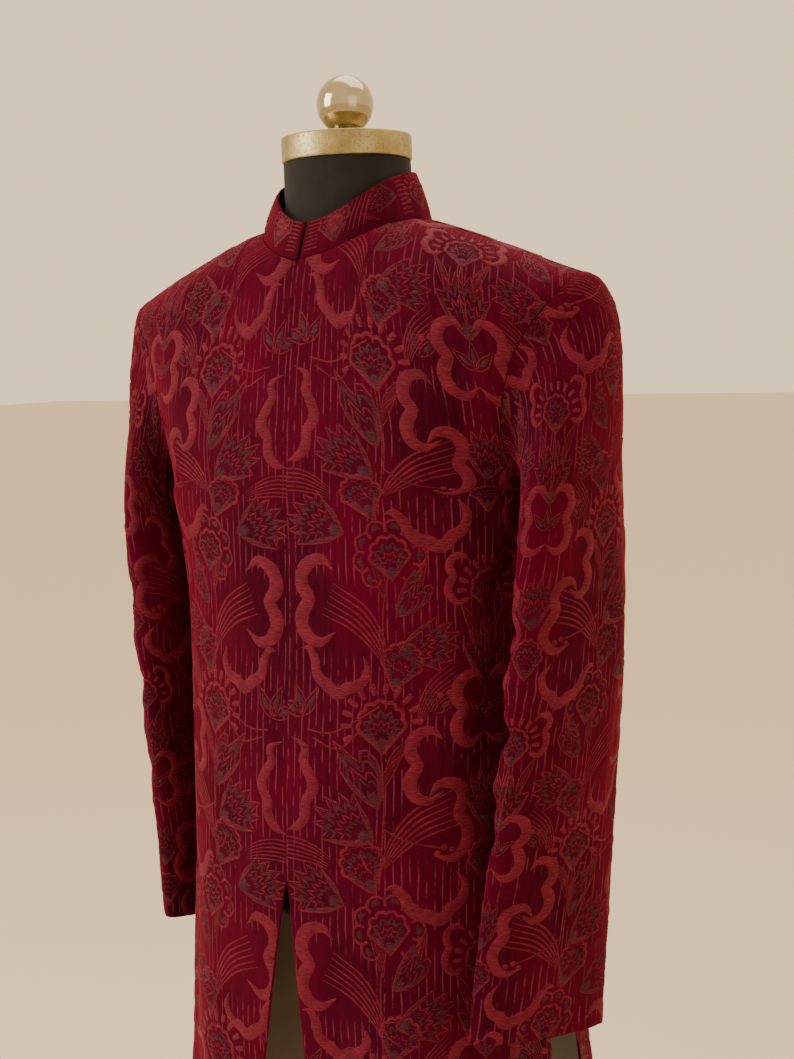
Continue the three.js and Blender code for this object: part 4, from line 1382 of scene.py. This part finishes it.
def form_cloth():
    """The form's matt black jersey."""
    f = Finish("form_jersey", linear(30, 30, 28), 0.92, Sheen_Weight=0.06, Specular_IOR_Level=0.2)
    where = f.solid()
    f.tint(f.noise(where, 40, 4), linear(20, 20, 19), linear(38, 37, 35))
    f.relief((f.noise(where, 1400, 2, (1, 1, 0.5)), 0.0004, 0.7))
    return f.material


def worn_brass():
    """Pale brass plate, dulled, with darker pits."""
    f = Finish("worn_brass", linear(190, 175, 130), 0.4, Metallic=1.0)
    where = f.solid()
    cloud = f.noise(where, 30, 5)
    pits = f.ramp(f.noise(where, 330, 4, rough=0.7), 0.56, 0.72)
    brushed = f.noise(where, 260, 2, (1, 1, 7))
    tone = f.mix(f.ramp(cloud, 0.35, 0.7), linear(142, 128, 84), linear(186, 172, 124))
    f.tint(f.times(pits, 0.75), tone, linear(96, 78, 42))
    f.set("Roughness", f.plus(f.ramp(cloud, 0.3, 0.8, 0.34, 0.5), f.times(pits, 0.2)))
    f.relief((f.math("SUBTRACT", brushed, pits), 0.0003, 0.5))
    return f.material


def polished():
    """Polished warm metal with faint handling marks."""
    f = Finish("polished_metal", linear(184, 166, 136), 0.1, Metallic=1.0)
    where = f.solid()
    marks = f.noise(where, 45, 5)
    f.set("Roughness", f.ramp(marks, 0.35, 0.75, 0.07, 0.2))
    f.tint(marks, linear(160, 147, 118), linear(190, 177, 148))
    f.relief((f.noise(where, 500, 2), 0.0001, 0.15))
    return f.material


def black_paint():
    """Satin black powder coat with a fine texture."""
    f = Finish("black_paint", linear(30, 30, 31), 0.45)
    where = f.solid()
    f.set("Roughness", f.ramp(f.noise(where, 35, 4), 0.3, 0.7, 0.38, 0.55))
    f.tint(f.noise(where, 20, 3), linear(26, 26, 27), linear(38, 38, 39))
    f.relief((f.noise(where, 900, 2), 0.0002, 0.4))
    return f.material


VELVET, VELVET_BACK = velvet(), velvet_back()
THREADS = [
    thread("thread_rose", linear(66, 9, 24), linear(113, 27, 48), 0.14),
    thread("thread_mauve", linear(40, 12, 20), linear(76, 33, 44), 0.1),
    thread("thread_crimson", linear(54, 0, 15), linear(84, 0, 28), 0.24),
]
SATIN, JERSEY, BRASS = satin(), form_cloth(), worn_brass()
POLISHED, BLACK = polished(), black_paint()

# ---------- The coat ----------
FRAME_TOP = 1336  # height on the cloth of the top of the chest's oval frame
SLEEVE_PHASE = 1180
BACK_PHASE = 1260
SLEEVE_ORIGIN = -84  # puts the flowering stem on the sleeve's outer middle
SLEEVE_SCALE = 0.86  # the sleeves' embroidery is smaller

CREASED = {"left": 1, "right": 0.35}  # how deep each sleeve's large creases are

left_halves, right_halves = (LEFT_FRONT_HALF, LEFT_BACK_HALF), (FRONT_HALF, BACK_HALF)
front_left, front_neck = front_sheet(LEFT_FRONT_HALF, 1, FRONT_LEFT_CREASES)
front_right, _ = front_sheet(FRONT_HALF, -1, FRONT_RIGHT_CREASES)
back, back_neck = back_sheet()
sleeve_left = sleeve_sheet(SLEEVE_LEFT, *left_halves, 1, SLEEVE_LEFT_CREASES, CREASED["left"])
sleeve_right = sleeve_sheet(SLEEVE_RIGHT, *right_halves, -1, SLEEVE_RIGHT_CREASES, CREASED["right"])
collar = collar_sheet(front_left, front_neck, back, back_neck)
# Each piece's sheet, and the origin, height and scale of its embroidery.
PIECES = {
    "front_left": (front_left, 0, FRAME_TOP, 1),
    "front_right": (front_right, 0, FRAME_TOP, 1),
    "back": (back, 0, BACK_PHASE, 1),
    "sleeve_left": (sleeve_left, SLEEVE_ORIGIN, SLEEVE_PHASE, SLEEVE_SCALE),
    "sleeve_right": (sleeve_right, SLEEVE_ORIGIN, SLEEVE_PHASE, SLEEVE_SCALE),
}
COLLAR_ROW = table("from_end up size turn", [
    [9, 23, 1, 0],
    [31, 5, 0.76, 0],
    [54, 23, 1, -4],
    [98, 24, 0.5, 84],
    [76, 6, 0.45, 80],
    [107, 24, 1.1, 6],
    [130, 23, 0.7, 0],
    [150, 23, 1, 8],
    [190, 22, 0.5, 82],
    [198, 23, 1, -4],
    [218, 8, 0.62, 0],
])
COLLAR_MOTIFS = "bars bloom rays tulip blade bars sun rays bract bars bloom".split()


def collar_stitches(sheet):
    """The collar's row of motifs, worked from both ends."""
    stitches = Stitches()
    end = sheet.across.max()
    for side in (-1, 1):
        for name, row in zip(COLLAR_MOTIFS, rows_of(COLLAR_ROW)):
            across = side * (end - row["from_end"])
            stitches.motif(name, across, row["up"], row["size"], row["turn"], -side)
    stitches.lay("embroidery_collar", sheet, THREADS)


def declare(piece, sheet, node, wide=None):
    """The piece stands in for its solid, which is hidden; its area and flat size are worked out but not
    kept.
    """
    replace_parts(piece, node)
    area = sheet.area()
    wide = (wide or np.ptp(sheet.across)) * MM
    tall = np.ptp(sheet.up) * MM


for name, (sheet, *placing) in PIECES.items():
    bare = embroider("embroidery_" + name, sheet, THREADS, *placing)
    declare(shell("kurta_" + name, sheet, [VELVET, VELVET_BACK], plain=bare), sheet, name)
collar_stitches(collar)
bare = np.ones(collar.across.shape)
collar_length = walked(collar.points, axis=1).max()
collar_piece = shell("kurta_collar", collar, [VELVET, VELVET_BACK], plain=bare)
declare(collar_piece, collar, "collar", collar_length)
underlap = underlap_sheet()
underlap_piece = shell("kurta_front_underlap", underlap, [VELVET_BACK, VELVET_BACK], UNDERLAP["cloth"])
declare(underlap_piece, underlap, "front_underlap")
lining = lining_sheet()
lining_piece = shell("kurta_back_lining", lining, [SATIN, SATIN], LINING_CLOTH)
declare(lining_piece, lining, "back_lining")


# ---------- Dress form and stand ----------
TORSO = {"rows": 110, "around": 120}


def torso():
    """The form's body and neck, smooth all round."""
    place = np.linspace(0, len(FORM["z"]) - 1, TORSO["rows"])[:, None]
    angle = np.linspace(0, 360, TORSO["around"], endpoint=False)
    row = row_at(FORM, place)
    s, c = unit(angle, row["square"])
    deep = np.where(c > 0, row["front"], row["back"])
    points = np.stack([row["side"] * s, -c * deep, row["z"] + 0 * s], -1)
    index = tube(TORSO["rows"], TORSO["around"])
    faces = quads(index).tolist() + [index[0, :-1][::-1].tolist(), index[-1, :-1].tolist()]
    return new_object("form_body", points.reshape(-1, 3), faces, [JERSEY], sharp=SHARP)


def rounded(radius, bottom, top, edge, steps=5):
    """A disc's profile with round rims."""
    turn = np.linspace(0, np.pi / 2, steps)
    low = [(radius - edge + edge * math.sin(t), bottom + edge - edge * math.cos(t)) for t in turn]
    high = [(radius - edge + edge * math.cos(t), top - edge + edge * math.sin(t)) for t in turn]
    return [(0, bottom), *low, *high, (0, top)]


def ball(radius, flat, bottom):
    """A ball's profile, with a small flat to stand on."""
    start = math.asin(flat / radius)
    middle = bottom + radius * math.cos(start)
    turn = np.linspace(start, np.pi - 0.02, 48)
    arc = [(radius * math.sin(t), middle - radius * math.cos(t)) for t in turn]
    return [(0, bottom), *arc, (0, middle + radius)]


CAP = {"radius": 61.5, "bottom": 1516, "top": 1539, "edge": 1.8, "crown": 1.0}
SEAT = {"radius": 19, "height": 5, "waist": 16.5}
FINIAL = {"radius": 27, "flat": 12}
POLE_RADIUS = 15
BASE = {"radius": 190, "thickness": 12, "edge": 4, "boss": 34, "boss_top": 34}

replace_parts(torso(), "form_torso")
cap_profile = rounded(CAP["radius"], CAP["bottom"], CAP["top"], CAP["edge"])
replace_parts(turned("form_cap", cap_profile, BRASS), "neck_cap")
seat_bottom = CAP["top"] + SEAM
seat_top = seat_bottom + SEAT["height"]
radius, waist = SEAT["radius"], SEAT["waist"]
seat_profile = [
    (0, seat_bottom), (radius - 0.8, seat_bottom), (radius, seat_bottom + 0.8),
    (radius - 0.5, seat_bottom + 1.8), (waist, seat_bottom + 3),
    (waist - 0.4, seat_top - 0.4), (waist - 1.2, seat_top), (0, seat_top),
]
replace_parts(turned("form_seat", seat_profile, POLISHED), "finial_seat")
finial_profile = ball(FINIAL["radius"], FINIAL["flat"], seat_top + SEAM)
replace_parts(turned("form_finial", finial_profile, POLISHED), "finial_ball")
pole_profile = rounded(POLE_RADIUS, BASE["boss_top"] + SEAM, FORM["z"][0] - SEAM, 1)
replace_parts(turned("form_pole", pole_profile, BLACK), "stand_pole")
radius, thickness, edge, boss, boss_top = BASE.values()
base_profile = [
    (0, 0), (radius - 1, 0), (radius, 1), (radius, thickness - edge),
    (radius - 0.3 * edge, thickness - 0.3 * edge), (radius - edge, thickness),
    (boss + 2, thickness), (boss, thickness + 1.5), (boss - 7, boss_top - 2),
    (boss - 9, boss_top), (0, boss_top),
]
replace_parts(turned("form_base", base_profile, BLACK), "stand_base")

# ---------- Floor, lights and camera ----------
STAGE_RADIUS = 30


def floor():
    """A plain pale floor."""
    mesh = bpy.data.meshes.new("floor")
    r = STAGE_RADIUS
    mesh.from_pydata([(-r, -r, 0), (r, -r, 0), (r, r, 0), (-r, r, 0)], [], [(0, 1, 2, 3)])
    f = Finish("floor_plain", linear(226, 214, 196), 0.9, Specular_IOR_Level=0.1)
    mesh.materials.append(f.material)
    thing = bpy.data.objects.new("floor", mesh)
    bpy.context.scene.collection.objects.link(thing)


def area_light(name, place, target, size, power, color):
    """A soft rectangular light, in metres and watts."""
    data = bpy.data.lights.new(name, "AREA")
    data.shape, data.size, data.size_y, data.energy = "RECTANGLE", size[0], size[1], power
    data.color = color
    lamp = bpy.data.objects.new(name, data)
    lamp.location = place
    lamp.rotation_euler = (Vector(target) - Vector(place)).to_track_quat("-Z", "Y").to_euler()
    bpy.context.scene.collection.objects.link(lamp)


# The viewpoint is in metres and degrees. The picture is in pixels: its height, the focal length, and
# how far the view is turned aside and down.
VIEW = {"azimuth": 33, "distance": 1.371, "height": 1.345, "roll": 2}
PICTURE = {"tall": 1059, "focal": 1418, "aside": 36, "down": 185.5}
SENSOR = 36


def swung(a, b, angle):
    """Two unit vectors at right angles, turned from the first towards the second."""
    c, s = math.cos(angle), math.sin(angle)
    return a * c + b * s, b * c - a * s


def camera():
    """Beside the wearer's left, at chest height, looking down a little."""
    azimuth = math.radians(VIEW["azimuth"])
    ahead = Vector((-math.sin(azimuth), math.cos(azimuth), 0))
    right = Vector((math.cos(azimuth), math.sin(azimuth), 0))
    place = ahead * -VIEW["distance"] + Vector((0, 0, VIEW["height"]))
    ahead, right = swung(ahead, right, math.atan(PICTURE["aside"] / PICTURE["focal"]))
    up, ahead = swung(Vector((0, 0, 1)), ahead, math.atan(PICTURE["down"] / PICTURE["focal"]))
    up, right = swung(up, right, math.radians(VIEW["roll"]))
    data = bpy.data.cameras.new("camera")
    data.sensor_width = SENSOR
    data.lens = PICTURE["focal"] / PICTURE["tall"] * SENSOR
    data.clip_start = 0.05
    thing = bpy.data.objects.new("camera", data)
    axes = Matrix((right, up, -ahead)).transposed().to_4x4()
    thing.matrix_world = Matrix.Translation(place) @ axes
    bpy.context.scene.collection.objects.link(thing)
    bpy.context.scene.camera = thing


def world():
    """Even warm light from all round."""
    made = bpy.data.worlds.new("studio")
    made.use_nodes = True
    background = made.node_tree.nodes["Background"]
    background.inputs["Color"].default_value = linear(250, 222, 180)
    background.inputs["Strength"].default_value = 1.5
    bpy.context.scene.world = made


CHEST = (0, 0, 1.15)
floor()
area_light("key", (-1.9, -2.1, 2.3), CHEST, (1.5, 2.0), 80, (1, 0.98, 0.97))
area_light("fill", (2.8, -1.4, 1.8), CHEST, (1.8, 2.2), 8, (1, 0.98, 0.97))
area_light("top", (0.1, 0.7, 3.2), CHEST, (2.2, 1.6), 27, (1, 0.98, 0.98))
world()
camera()
